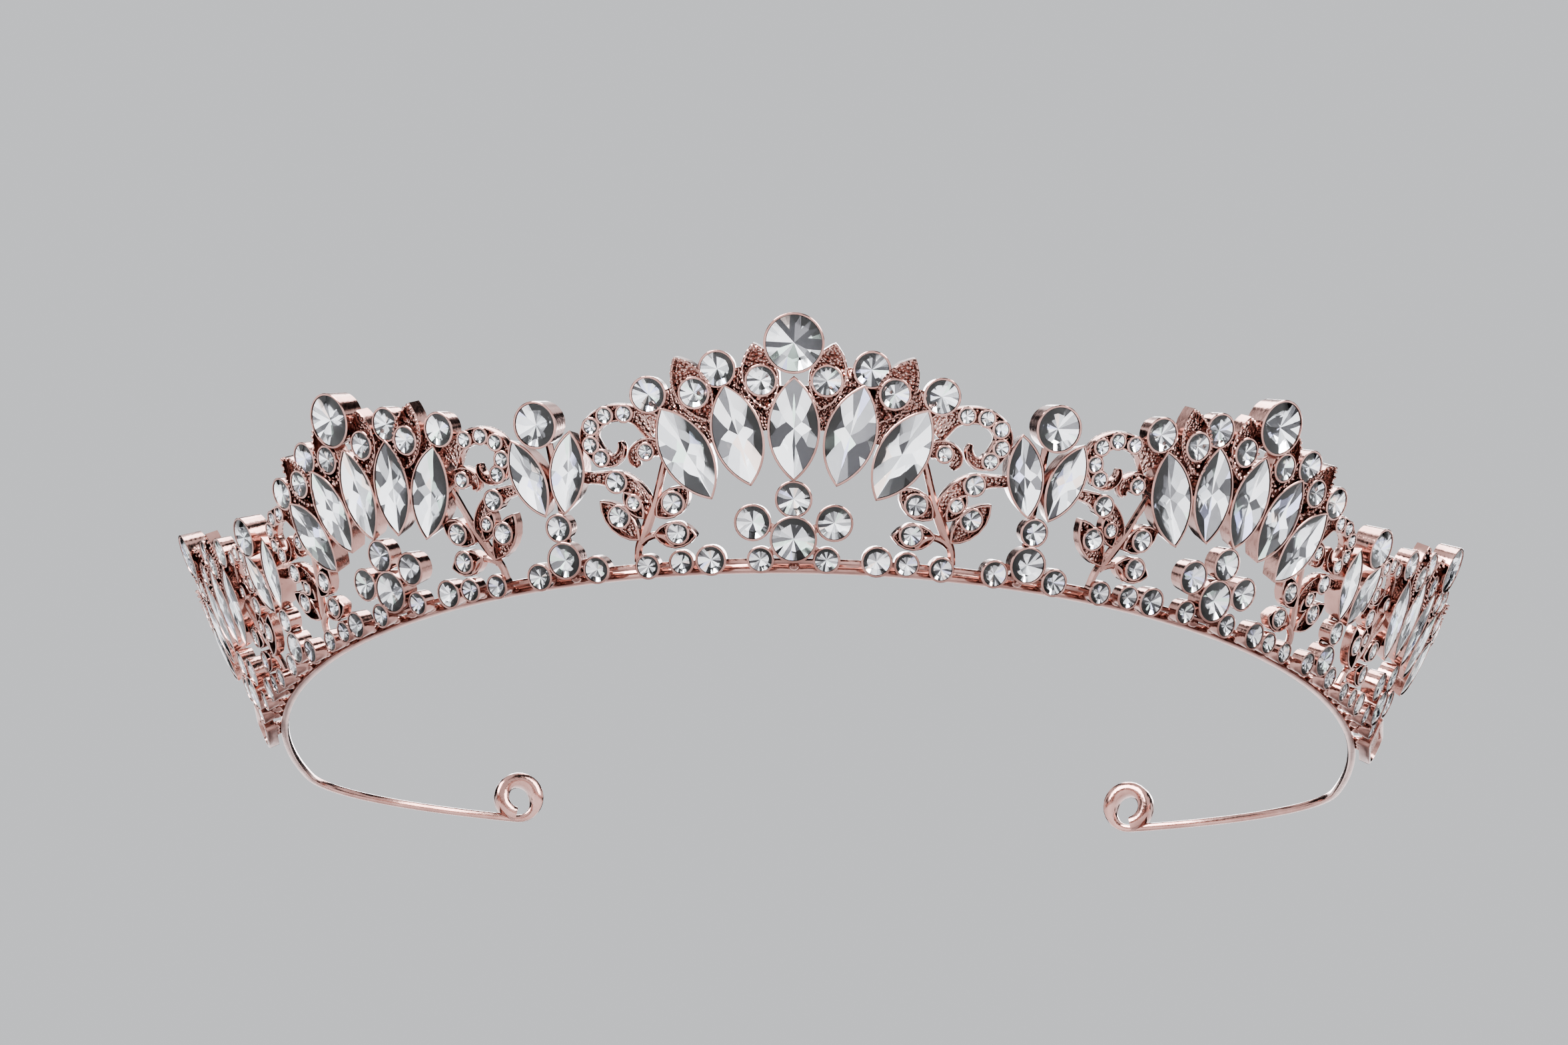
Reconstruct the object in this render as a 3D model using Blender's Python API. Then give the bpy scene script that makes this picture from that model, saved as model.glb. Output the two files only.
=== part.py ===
"""A bridal tiara: five navette fans, four twin-navette clusters and eight leafy scrolls
stand on an open sprung head band, whose two arms end in curled ribbon eyes.

Each casting is laid out flat, by its distance along the band and its height up the
leaning crown, and is then bent round the head ring. Metres, +Z up, brow towards -Y.
"""

import math

import bmesh
import bpy
from mathutils import Matrix, Vector

MM = 0.001

# Head ring: a half-ellipse from the brow to the ears, and a shallower one behind them
HALF_WIDTH = 73.5 * MM
BROW_DEPTH = 92.0 * MM
NAPE_DEPTH = 33.0 * MM
ARM_END_GAP = 96.0 * MM  # between the two arms at the nape
CROWN_LEAN = math.radians(29.0)  # how far the crown leans out from upright
PITCH = 23.45 * MM  # from a fan to the twin cluster beside it
FAN_COUNT = 5

# Band and rail
BAND_HEIGHT = 1.1 * MM
BAND_THICKNESS = 1.0 * MM
BAND_SINK = 0.5 * MM  # its lower edge, below the ring on which the castings are laid out
FRONT_STEP = 5.0 * MM  # length of one flat facet of the band in front
ARM_STEP = 2.6 * MM  # and of an arm, which bends more tightly
RAIL_HEIGHT = 0.6 * MM
RAIL_DEPTH = 0.6 * MM
RAIL_RISE = 0.6 * MM  # its middle, above that ring
EYE_DIAMETER = 7.6 * MM
EYE_HOLE = 3.2 * MM
EYE_THICKNESS = 3.0 * MM
EYE_SHARE = 0.6  # of the eye's half chord at the band's height, that lies past the strip
TAB_LENGTH = 10.5 * MM
TAB_HEIGHT = 4.4 * MM
TAB_THICKNESS = 0.8 * MM
TAB_RIM = 0.6 * MM
TAB_OVERLAP = 0.7 * MM  # how far the tab reaches past the arm's start
TAB_CLEARANCE = 2.2 * MM  # from the last fan's rail to the tab

# Clearances
GAP = 0.3 * MM  # between neighbouring castings, and from them to the band
SETTING_GAP = 0.12 * MM  # round a stone in its seat
JOIN = 0.25 * MM  # how far two shapes of one casting run into each other

FLAT_ANGLE = math.radians(0.2)  # faces that differ by less than this are one face

# Castings
CASTING_BACK = 0.3 * MM  # back of the navette seats, out from the band's centre line
SEAT_DEPTH = 2.1 * MM
PLATE_SET = 0.45 * MM  # how far plates, webs and leaves stand in front of that
RAIL_SET = 0.07 * MM  # and the rail
CUP_TAPER = 0.15  # a round cup is this share of its lack of width shallower at each face
PLATE_DEPTH = 0.9 * MM
WEB_WIDTH = 1.3 * MM
WALL = 0.42 * MM
POCKET_DEPTH = 1.3 * MM
CREST_RISE = 0.6 * MM  # how much deeper a crest cup is than the small cups

# Stones: seats are named by the outer size of the metal round the stone
FAN_NAVETTE = (10.7 * MM, 5.35 * MM)
TWIN_NAVETTE = (8.9 * MM, 4.1 * MM)
CREST_SEAT = 6.15 * MM
TWIN_TOP_CUP = 5.0 * MM
RING_CUP = 3.9 * MM
PETAL_CUP = 3.84 * MM
FLOWER_CUP = 4.85 * MM
FOOT_CUP = 2.83 * MM
TWIN_STALK_CUP = 3.1 * MM
TWIN_CENTRE_CUP = 4.0 * MM
TWIN_FOOT_CUP = 3.0 * MM
BASE_CUPS = (3.25 * MM, 2.7 * MM, 2.7 * MM)
PAVE_CUP = 2.0 * MM
STONE_RISE = 0.9 * MM  # how far a stone's table stands above its rim
TABLE_SHARE = 0.55  # a table's size against its stone's

# Fan layout: navettes stand like spokes of a wheel whose hub is below the band
FAN_RADIUS = 22.3 * MM
FAN_STEP = math.radians(12.9)
FAN_SPOKES = (-2, -1, 0, 1, 2)
FLOWER_HEIGHT = 3.06 * MM
FOOT_HEIGHT = 0.95 * MM
PETAL_RISE = math.radians(23.5)
FOOT_DROP = math.radians(32.5)
LEAF = (7.0 * MM, 3.9 * MM)
LEAF_OUTSET = 0.3 * MM  # how far a leaf's middle stands past the navettes' tips
FAN_RAIL_HALF = 5.7 * MM

# Twin layout
TWIN_CENTRE_HEIGHT = 2.24 * MM
TWIN_FOOT_SPREAD = 3.25 * MM
TWIN_TILT = math.radians(15.0)
TWIN_TOP_SINK = 1.55 * MM  # how far the top cup reaches down between the navettes
TWIN_OVERLAP = 0.12 * MM  # how far the two seats run into each other
TWIN_RAIL_HALF = 6.1 * MM

# Scroll layout, measured from the fan it grows from
SPRAY_LEAF = (4.4 * MM, 2.7 * MM)
LONG_LEAF = (5.6 * MM, 2.4 * MM)
SCROLL_WIDTH = 1.7 * MM
SCROLL_DEPTH = 1.5 * MM

ROSE_GOLD = (0.83, 0.52, 0.43, 1.0)
CRYSTAL = (0.93, 0.95, 0.97, 1.0)


# ---------------------------------------------------------------- scene and materials


def clear_scene():
    for obj in list(bpy.data.objects):
        bpy.data.objects.remove(obj)


def make_material(name, colour, metallic, roughness):
    material = bpy.data.materials.new(name)
    material.use_nodes = True
    shader = material.node_tree.nodes["Principled BSDF"]
    shader.inputs["Base Color"].default_value = colour
    shader.inputs["Metallic"].default_value = metallic
    shader.inputs["Roughness"].default_value = roughness
    material.diffuse_color = colour
    return material


def gold(name):
    return make_material(name + "_gold", ROSE_GOLD, 1.0, 0.22)


def crystal(name):
    return make_material(name + "_crystal", CRYSTAL, 0.0, 0.05)


def add_object(name, mesh, material, parent):
    obj = bpy.data.objects.new(name, mesh)
    bpy.context.scene.collection.objects.link(obj)
    mesh.materials.clear()
    mesh.materials.append(material)
    obj.parent = parent
    return obj


def add_empty(name, parent=None, location=(0.0, 0.0, 0.0)):
    empty = bpy.data.objects.new(name, None)
    empty.empty_display_size = 10 * MM
    bpy.context.scene.collection.objects.link(empty)
    empty.parent = parent
    empty.location = location
    return empty


# ---------------------------------------------------------------- the head ring


def ring_depth(turn):
    return BROW_DEPTH if abs(turn) <= math.pi / 2 else NAPE_DEPTH


def ring_point(turn):
    """Plan position at a turn of 0 at the brow and a quarter turn at the ear."""
    y = BROW_DEPTH - ring_depth(turn) * math.cos(turn)
    return Vector((HALF_WIDTH * math.sin(turn), y, 0.0))


def ring_tangent(turn):
    x = HALF_WIDTH * math.cos(turn)
    return Vector((x, ring_depth(turn) * math.sin(turn), 0.0)).normalized()


def measure_ring(steps=2400):
    """Turns, with the length of band from the brow to each."""
    turns = [math.pi * i / steps for i in range(steps)]
    lengths = [0.0]
    for before, after in zip(turns, turns[1:]):
        lengths.append(lengths[-1] + (ring_point(after) - ring_point(before)).length)
    return turns, lengths


RING_TURNS, RING_LENGTHS = measure_ring()


def turn_at(along):
    """The turn that lies this far along the band, negative towards -X."""
    target = abs(along)
    low, high = 0, len(RING_LENGTHS) - 1
    while high - low > 1:
        middle = (low + high) // 2
        if RING_LENGTHS[middle] <= target:
            low = middle
        else:
            high = middle
    share = (target - RING_LENGTHS[low]) / (RING_LENGTHS[high] - RING_LENGTHS[low])
    turn = RING_TURNS[low] + share * (RING_TURNS[high] - RING_TURNS[low])
    return math.copysign(turn, along)


def length_at(turn):
    """The length of band from the brow to a turn."""
    return RING_LENGTHS[round(turn / RING_TURNS[1])]


def ring_axes(along):
    """Ring point, direction along the band, and level direction away from the head."""
    turn = turn_at(along)
    tangent = ring_tangent(turn)
    return ring_point(turn), tangent, Vector((tangent.y, -tangent.x, 0.0))


class Spot:
    """Where a casting stands: its middle along the band, and 1 or -1 for its hand."""

    def __init__(self, along, hand=1):
        self.along = along
        self.hand = hand

    def axes(self, across, height):
        """Place of a point of the flat layout, with its across, up and out directions."""
        point, tangent, level = ring_axes(self.along + self.hand * across)
        upright = Vector((0.0, 0.0, 1.0))
        up = level * math.sin(CROWN_LEAN) + upright * math.cos(CROWN_LEAN)
        out = level * math.cos(CROWN_LEAN) - upright * math.sin(CROWN_LEAN)
        return point + up * height, tangent * self.hand, up, out


# ---------------------------------------------------------------- outlines and solids


def circle(diameter, sides):
    """Corners of a round outline that measures its diameter from flat to flat."""
    reach = diameter / 2 / math.cos(math.pi / sides)
    angles = [math.tau * (i + 0.5) / sides for i in range(sides)]
    return [Vector((math.cos(angle), math.sin(angle))) * reach for angle in angles]


def pointed_oval(length, width, sides=8):
    """Outline of two equal arcs that meet in a point at the top and at the bottom."""
    half, sagitta = length / 2, width / 2
    radius = (half * half + sagitta * sagitta) / (2 * sagitta)
    reach = math.asin(half / radius)
    points = []
    for hand in (1, -1):
        for i in range(sides // 2):
            angle = hand * reach * (4 * i / sides - 1)
            x = hand * (radius * math.cos(angle) - radius + sagitta)
            points.append(Vector((x, radius * math.sin(angle))))
    return points


def grown(outline, share):
    return [point * share for point in outline]


def turned(outline, angle):
    """The outline, turned clockwise seen from the front."""
    cosine, sine = math.cos(angle), math.sin(angle)
    return [Vector((p.x * cosine + p.y * sine, p.y * cosine - p.x * sine)) for p in outline]


def loop_at(bm, axes, outline, out):
    """One closed loop of vertices, an outline laid out at a depth."""
    point, across, up, forward = axes
    return [bm.verts.new(point + across * p.x + up * p.y + forward * out) for p in outline]


def join_loops(bm, loops):
    """A solid skinned through loops of equal length, flat at both ends."""
    for near, far in zip(loops, loops[1:]):
        for i, vertex in enumerate(near):
            after = (i + 1) % len(near)
            bm.faces.new((vertex, near[after], far[after], far[i]))
    bm.faces.new(loops[0])
    bm.faces.new(loops[-1])


def prism(bm, spot, place, outline, back, front):
    """An outline at a place of the flat layout, as a block from back to front."""
    axes = spot.axes(*place)
    join_loops(bm, [loop_at(bm, axes, outline, out) for out in (back, front)])


def cup(bm, spot, place, diameter, sides=8):
    """A round setting, which is shallower the smaller its stone."""
    inset = CUP_TAPER * (FLOWER_CUP - diameter)
    prism(bm, spot, place, circle(diameter, sides), CASTING_BACK + inset, SEAT_FRONT - inset)


def crest_cup(bm, spot, place, diameter):
    """The round setting at the top of a casting, deeper than the others."""
    prism(bm, spot, place, circle(diameter, 12), CASTING_BACK + JOIN / 2, CREST_FRONT)


def ribbon(bm, spot, path, width, depth=PLATE_DEPTH, back=CASTING_BACK + PLATE_SET):
    """A flat strip that follows a path of the flat layout."""
    points = [Vector(place) for place in path]
    loops = []
    for i, point in enumerate(points):
        before, after = points[max(i - 1, 0)], points[min(i + 1, len(points) - 1)]
        along = (after - before).normalized()
        side = Vector((-along.y, along.x)) * (width / 2)
        corners = []
        for edge in (point + side, point - side):
            place, _, _, out = spot.axes(edge.x, edge.y)
            corners.append((place + out * back, place + out * (back + depth)))
        (a, b), (c, d) = corners
        loops.append([bm.verts.new(corner) for corner in (a, b, d, c)])
    join_loops(bm, loops)


def polar(spoke, radius):
    """Place on a fan's wheel, a number of navette steps round and a radius out."""
    angle = spoke * FAN_STEP
    hub = NAVETTE_HEIGHT - FAN_RADIUS
    return radius * math.sin(angle), hub + radius * math.cos(angle)


def arc_path(centre, radius, start, end, steps):
    """Points round an arc, angles anticlockwise from the rightmost point."""
    angles = [math.radians(start + (end - start) * i / steps) for i in range(steps + 1)]
    return [(centre[0] + radius * math.cos(a), centre[1] + radius * math.sin(a)) for a in angles]


def closed_mesh(name, bm):
    bmesh.ops.recalc_face_normals(bm, faces=bm.faces)
    mesh = bpy.data.meshes.new(name)
    bm.to_mesh(mesh)
    bm.free()
    return mesh


def helper(name, bm):
    """A hidden operand for a Boolean."""
    obj = bpy.data.objects.new(name, closed_mesh(name, bm))
    bpy.context.scene.collection.objects.link(obj)
    obj.hide_render = True
    obj.display_type = "WIRE"
    return obj


def merge_flat_faces(mesh):
    """Joins the slivers that a Boolean leaves in one flat face."""
    bm = bmesh.new()
    bm.from_mesh(mesh)
    bmesh.ops.dissolve_limit(bm, angle_limit=FLAT_ANGLE, verts=bm.verts, edges=bm.edges)
    bm.to_mesh(mesh)
    bm.free()


def combined(name, base, additions=None, pockets=None):
    """One mesh: the base, with overlapping additions joined on and pockets cut out."""
    operands = [helper(name + "_base", base)]
    whole = operands[0]
    for bm, operation in ((additions, "UNION"), (pockets, "DIFFERENCE")):
        if bm is None:
            continue
        operand = helper(f"{name}_{operation.lower()}", bm)
        operands.append(operand)
        modifier = whole.modifiers.new(operation, "BOOLEAN")
        modifier.operation = operation
        modifier.solver = "EXACT"
        modifier.use_self = operation == "UNION"
        modifier.object = operand
    bpy.context.view_layer.update()
    graph = bpy.context.evaluated_depsgraph_get()
    mesh = bpy.data.meshes.new_from_object(whole.evaluated_get(graph))
    mesh.name = name
    for obj in operands:
        bpy.data.objects.remove(obj)
    merge_flat_faces(mesh)
    mesh.shade_smooth()
    mesh.set_sharp_from_angle(angle=math.radians(30))
    return mesh


def seat_casting(name, mesh, material, parent, spot):
    """Puts a casting's origin on the band at its own middle."""
    point, tangent, level = ring_axes(spot.along)
    turn = Matrix((tangent, -level, (0.0, 0.0, 1.0))).transposed().to_4x4()
    own = Matrix.Translation(point) @ turn
    mesh.transform(own.inverted())
    obj = add_object(name, mesh, material, parent)
    obj.matrix_local = own
    return obj


# ---------------------------------------------------------------- stones and seats


NAVETTE_HEIGHT = (
    FLOWER_HEIGHT + FLOWER_CUP / 2 + PETAL_CUP + FAN_NAVETTE[0] / 2 - 0.35 * MM
)
TWIN_STALK_HEIGHT = TWIN_CENTRE_HEIGHT + (TWIN_CENTRE_CUP + TWIN_STALK_CUP) / 2 - JOIN / 2
TWIN_LOW_POINT = TWIN_STALK_HEIGHT + TWIN_STALK_CUP / 2 - JOIN
CREST_RADIUS = FAN_RADIUS + FAN_NAVETTE[0] / 2 + CREST_SEAT / 2 + JOIN
RING_RADIUS = FAN_RADIUS + FAN_NAVETTE[0] / 2 + RING_CUP / 2 - JOIN
LEAF_RADIUS = FAN_RADIUS + FAN_NAVETTE[0] / 2 + LEAF_OUTSET - JOIN
SEAT_FRONT = CASTING_BACK + SEAT_DEPTH
CREST_FRONT = SEAT_FRONT + CREST_RISE


def inner(size):
    """Outer sizes of a seat turned into the size of its pocket."""
    return size - 2 * WALL


def stone_solid(spot, place, outline, front):
    """A stone in its seat: a flat table, sloping crown, girdle and tapering back."""
    back = front - POCKET_DEPTH + SETTING_GAP
    levels = (
        (back, TABLE_SHARE),
        (front - 0.25 * MM, 1.0),
        (front + STONE_RISE, TABLE_SHARE),
    )
    bm = bmesh.new()
    axes = spot.axes(*place)
    join_loops(bm, [loop_at(bm, axes, grown(outline, share), out) for out, share in levels])
    return bm


def add_stone(name, spot, place, outline, front, parent):
    mesh = closed_mesh(name, stone_solid(spot, place, outline, front))
    middle = Spot(spot.along + spot.hand * place[0])
    return seat_casting(name, mesh, crystal(name), parent, middle)


def stone_outline(size, angle):
    """A navette stone's outline, with the setting gap all round it."""
    length, width = (inner(value) - 2 * SETTING_GAP for value in size)
    return turned(pointed_oval(length, width), angle)


def pocket_outline(size, angle):
    return turned(pointed_oval(inner(size[0]), inner(size[1])), angle)


def pocket(bm, spot, place, outline, front):
    prism(bm, spot, place, outline, front - POCKET_DEPTH, front + GAP)


# ---------------------------------------------------------------- fans


def fan_navettes():
    """Place and tilt of each navette of a fan."""
    return [(polar(spoke, FAN_RADIUS), spoke * FAN_STEP) for spoke in FAN_SPOKES]


def petal(angle, diameter):
    """Place of a cup that touches the flower's centre cup in a direction."""
    reach = (FLOWER_CUP + diameter) / 2 - JOIN
    return reach * math.cos(angle), FLOWER_HEIGHT + reach * math.sin(angle)


def fan_flower(bm, spot):
    centre = (0.0, FLOWER_HEIGHT)
    cup(bm, spot, centre, FLOWER_CUP, sides=10)
    stalk = petal(math.pi / 2, PETAL_CUP)
    cup(bm, spot, stalk, PETAL_CUP)
    ribbon(bm, spot, (centre, stalk, (0.0, stalk[1] + PETAL_CUP)), WEB_WIDTH)
    for hand in (1, -1):
        x, y = petal(PETAL_RISE, PETAL_CUP)
        cup(bm, spot, (hand * x, y), PETAL_CUP)
        ribbon(bm, spot, (centre, (hand * x, y)), WEB_WIDTH)
        x, y = petal(-FOOT_DROP, FOOT_CUP)
        cup(bm, spot, (hand * x, FOOT_HEIGHT), FOOT_CUP)
        ribbon(bm, spot, (centre, (hand * x, FOOT_HEIGHT)), WEB_WIDTH)


def fan_plate(bm, spot):
    """Plate behind the navettes' upper halves, which carries the crest and the leaves."""
    low, high = FAN_RADIUS - JOIN, RING_RADIUS
    steps = [spoke / 2 for spoke in range(-4, 5)]
    path = [polar(spoke, (low + high) / 2) for spoke in steps]
    ribbon(bm, spot, path, high - low)


def fan_casting(spot):
    base, additions, pockets = bmesh.new(), bmesh.new(), bmesh.new()
    fan_plate(base, spot)
    for place, angle in fan_navettes():
        seat = turned(pointed_oval(*FAN_NAVETTE), angle)
        prism(additions, spot, place, seat, CASTING_BACK, SEAT_FRONT)
        pocket(pockets, spot, place, pocket_outline(FAN_NAVETTE, angle), SEAT_FRONT)
    crest = polar(0, CREST_RADIUS)
    crest_cup(additions, spot, crest, CREST_SEAT)
    pocket(pockets, spot, crest, circle(inner(CREST_SEAT), 12), CREST_FRONT)
    for spoke in (-2, -1, 1, 2):
        cup(additions, spot, polar(spoke, RING_RADIUS), RING_CUP)
    for spoke in (-1.5, -0.5, 0.5, 1.5):
        leaf = turned(pointed_oval(*LEAF, sides=6), spoke * FAN_STEP)
        place = polar(spoke, LEAF_RADIUS)
        prism(additions, spot, place, leaf, CASTING_BACK + PLATE_SET, SEAT_FRONT - JOIN)
    fan_flower(additions, spot)
    rail(additions, spot, -FAN_RAIL_HALF + GAP / 2, FAN_RAIL_HALF - GAP / 2)
    return base, additions, pockets


def rail(bm, spot, start, end):
    """The short rod in front of the band that the base cups stand on."""
    steps = 4
    path = [(start + (end - start) * i / steps, RAIL_RISE) for i in range(steps + 1)]
    ribbon(bm, spot, path, RAIL_HEIGHT, RAIL_DEPTH, CASTING_BACK + RAIL_SET)


def build_fan(name, along, parent):
    spot = Spot(along)
    label = "fan_" + name
    mesh = combined(label, *fan_casting(spot))
    seat_casting(label, mesh, gold(label), parent, spot)
    for number, (place, angle) in enumerate(fan_navettes(), 1):
        outline = stone_outline(FAN_NAVETTE, angle)
        stone = f"navette_fan_{name}_{number}"
        add_stone(stone, spot, place, outline, SEAT_FRONT, parent)
    outline = circle(inner(CREST_SEAT) - 2 * SETTING_GAP, 12)
    crest = polar(0, CREST_RADIUS)
    add_stone("crest_stone_" + name, spot, crest, outline, CREST_FRONT, parent)


# ---------------------------------------------------------------- twins


def twin_navettes():
    """Place and tilt of the two navettes that stand in a V."""
    across = TWIN_NAVETTE[1] / 2 / math.cos(TWIN_TILT) - TWIN_OVERLAP / 2
    height = TWIN_LOW_POINT + TWIN_NAVETTE[0] / 2 * math.cos(TWIN_TILT)
    return [((hand * across, height), hand * TWIN_TILT) for hand in (-1, 1)]


def twin_casting(spot):
    base, additions, pockets = bmesh.new(), bmesh.new(), bmesh.new()
    (_, navette_height), _ = twin_navettes()[1]
    top = (0.0, navette_height + (TWIN_NAVETTE[0] + TWIN_TOP_CUP) / 2 - TWIN_TOP_SINK)
    centre, stalk = (0.0, TWIN_CENTRE_HEIGHT), (0.0, TWIN_STALK_HEIGHT)
    ribbon(base, spot, (centre, stalk, (0.0, navette_height), top), WEB_WIDTH)
    for place, angle in twin_navettes():
        seat = turned(pointed_oval(*TWIN_NAVETTE), angle)
        prism(additions, spot, place, seat, CASTING_BACK, SEAT_FRONT)
        pocket(pockets, spot, place, pocket_outline(TWIN_NAVETTE, angle), SEAT_FRONT)
    crest_cup(additions, spot, top, TWIN_TOP_CUP)
    cup(additions, spot, stalk, TWIN_STALK_CUP)
    cup(additions, spot, centre, TWIN_CENTRE_CUP, sides=10)
    for hand in (1, -1):
        foot = (hand * TWIN_FOOT_SPREAD, FOOT_HEIGHT)
        cup(additions, spot, foot, TWIN_FOOT_CUP)
        ribbon(additions, spot, (centre, foot), WEB_WIDTH)
    rail(additions, spot, -TWIN_RAIL_HALF + GAP / 2, TWIN_RAIL_HALF - GAP / 2)
    return base, additions, pockets


def build_twin(name, along, parent):
    spot = Spot(along)
    label = "twin_" + name
    mesh = combined(label, *twin_casting(spot))
    seat_casting(label, mesh, gold(label), parent, spot)
    for number, (place, angle) in enumerate(twin_navettes(), 1):
        outline = stone_outline(TWIN_NAVETTE, angle)
        add_stone(f"navette_twin_{name}_{number}", spot, place, outline, SEAT_FRONT, parent)


# ---------------------------------------------------------------- scrolls


def scroll_reach():
    """Room for a scroll's upper parts: right edges of the fan, left edge of the twin."""
    (across, height), angle = fan_navettes()[-1]
    fan_edge = across + FAN_NAVETTE[1] / 2 * math.cos(angle)
    (twin_across, _), _ = twin_navettes()[1]
    twin_half = TWIN_NAVETTE[1] / 2 + TWIN_NAVETTE[0] / 4 * math.sin(TWIN_TILT)
    return fan_edge + GAP, PITCH - twin_across - twin_half - GAP, height


def scroll_casting(spot):
    """A leafy spray on three base cups, with a C scroll and a small scroll above it."""
    base, additions = bmesh.new(), bmesh.new()
    start = FAN_RAIL_HALF + GAP / 2
    end = PITCH - TWIN_RAIL_HALF - GAP / 2
    rail(base, spot, start, end)
    across = start + GAP / 2
    cups = []
    for diameter in BASE_CUPS:
        cups.append((across + diameter / 2, FOOT_HEIGHT))
        cup(additions, spot, cups[-1], diameter)
        across += diameter + 0.35 * MM
    left, right, height = scroll_reach()
    foot = (cups[1][0] + 0.6 * MM, FOOT_HEIGHT)
    neck = (left + 0.9 * MM, height - 5.6 * MM)
    ribbon(additions, spot, (foot, (neck[0], neck[1] - 2.0 * MM), neck), WEB_WIDTH)
    hub = ((left + right) / 2 + 0.6 * MM, height + 1.6 * MM)
    radius = (right - left) / 2 - SCROLL_WIDTH / 2
    root = (left + SCROLL_WIDTH / 2, height - 0.5 * MM)
    scroll = [neck, (root[0] - 0.1 * MM, (neck[1] + root[1]) / 2), root]
    scroll += arc_path(hub, radius, 165, -60, 7)
    ribbon(additions, spot, scroll, SCROLL_WIDTH, SCROLL_DEPTH)
    for angle in (100, 45, -10):
        place = arc_path(hub, radius, angle, angle, 1)[0]
        cup(additions, spot, place, PAVE_CUP, sides=6)
    spray_leaves(additions, spot, neck, right)
    return base, additions, None


def spray_leaves(bm, spot, neck, right):
    """Leaves that grow from the neck of the spray: two to each side."""
    lean = math.radians(62)
    long_half = LONG_LEAF[0] / 2
    long_leaf = (neck[0] + long_half * math.sin(lean), neck[1] + long_half * math.cos(lean))
    leaf_half = SPRAY_LEAF[0] / 2 - JOIN
    leaves = (
        (long_leaf, LONG_LEAF, lean),
        ((neck[0] + leaf_half * math.sin(lean), neck[1] - 2.0 * MM), SPRAY_LEAF, lean),
        ((neck[0] - leaf_half * math.sin(lean), neck[1] + 0.2 * MM), SPRAY_LEAF, -lean),
        ((neck[0] - leaf_half * math.sin(lean), neck[1] - 2.9 * MM), SPRAY_LEAF, -lean),
    )
    for place, size, angle in leaves:
        outline = turned(pointed_oval(*size, sides=6), angle)
        prism(bm, spot, place, outline, CASTING_BACK + PLATE_SET, CASTING_BACK + SCROLL_DEPTH)


def build_scroll(name, along, hand, parent):
    spot = Spot(along, hand)
    label = "scroll_" + name
    base, additions, _ = scroll_casting(spot)
    mesh = combined(label, base, additions)
    seat_casting(label, mesh, gold(label), parent, Spot(along + hand * PITCH / 2))


# ---------------------------------------------------------------- band, arms and tabs


# Where the crown ends and an arm starts, so that the tab clears the last fan's rail
FANS_END = (FAN_COUNT - 1) * PITCH + FAN_RAIL_HALF
CROWN_END = FANS_END + TAB_CLEARANCE + TAB_LENGTH - TAB_OVERLAP

def band_outer():
    """Level distance from the band's centre line to its outer face: clear of the castings."""
    lowest = FOOT_HEIGHT - max(BASE_CUPS + (TWIN_FOOT_CUP, FOOT_CUP)) / 2
    reach = lowest * math.sin(CROWN_LEAN) + CASTING_BACK * math.cos(CROWN_LEAN)
    return min(reach, CASTING_BACK) - GAP


def band_solid(bm, start, end, step):
    """The flat strip between two lengths along the band."""
    steps = max(2, round(abs(end - start) / step))
    loops = []
    for i in range(steps + 1):
        point, _, level = ring_axes(start + (end - start) * i / steps)
        corners = []
        for out in (band_outer() - BAND_THICKNESS, band_outer()):
            edge = point + level * out
            corners.append(edge + Vector((0.0, 0.0, -BAND_SINK)))
            corners.append(edge + Vector((0.0, 0.0, BAND_HEIGHT - BAND_SINK)))
        a, b, c, d = corners
        loops.append([bm.verts.new(corner) for corner in (a, c, d, b)])
    join_loops(bm, loops)


def upright_disc(bm, along, beyond, diameter, depth, hand):
    """A disc with its axis level, past the end of an arm, standing on the band's lower edge."""
    point, tangent, level = ring_axes(hand * along)
    middle = point + tangent * (hand * beyond) + level * (band_outer() - BAND_THICKNESS / 2)
    middle.z = EYE_DIAMETER / 2 - BAND_SINK
    axes = (middle, tangent, Vector((0.0, 0.0, 1.0)), level)
    outline = circle(diameter, 16)
    join_loops(bm, [loop_at(bm, axes, outline, out) for out in (-depth / 2, depth / 2)])


def arm_length():
    """Length along the band at which an arm reaches its half of the gap at the nape."""
    turn = math.pi - math.asin(ARM_END_GAP / 2 / HALF_WIDTH)
    return length_at(turn)


def build_arm(side, hand, parent):
    name = "band_arm_" + side
    strip, disc, hole = bmesh.new(), bmesh.new(), bmesh.new()
    end = arm_length()
    band_solid(strip, hand * (CROWN_END + GAP / 2), hand * end, ARM_STEP)
    radius, rise = EYE_DIAMETER / 2, BAND_HEIGHT / 2
    reach = EYE_SHARE * math.sqrt(radius * radius - (radius - rise) ** 2)
    upright_disc(disc, end, reach, EYE_DIAMETER, EYE_THICKNESS, hand)
    upright_disc(hole, end, reach, EYE_HOLE, 2 * EYE_THICKNESS, hand)
    mesh = combined(name, strip, disc, hole)
    pivot_point = ring_axes(hand * CROWN_END)[0]
    pivot = add_empty(side + "_arm_pivot", parent, pivot_point)
    mesh.transform(Matrix.Translation(-pivot_point))
    add_object(name, mesh, gold(name), pivot)


def build_band_front(parent):
    bm = bmesh.new()
    reach = CROWN_END - GAP / 2
    band_solid(bm, -reach, reach, FRONT_STEP)
    mesh = closed_mesh("band_front", bm)
    add_object("band_front", mesh, gold("band_front"), parent)


def tab_outline(shrink):
    """A plate with one square and one round end, along the band."""
    half, low = TAB_LENGTH / 2 - shrink, -TAB_HEIGHT / 2 + shrink
    radius = TAB_HEIGHT / 2 - shrink
    bend = [math.radians(-90 + 22.5 * i) for i in range(9)]
    centre = half - radius
    points = [Vector((centre + radius * math.cos(a), radius * math.sin(a))) for a in bend]
    return [*points, Vector((-half, -low)), Vector((-half, low))]


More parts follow.
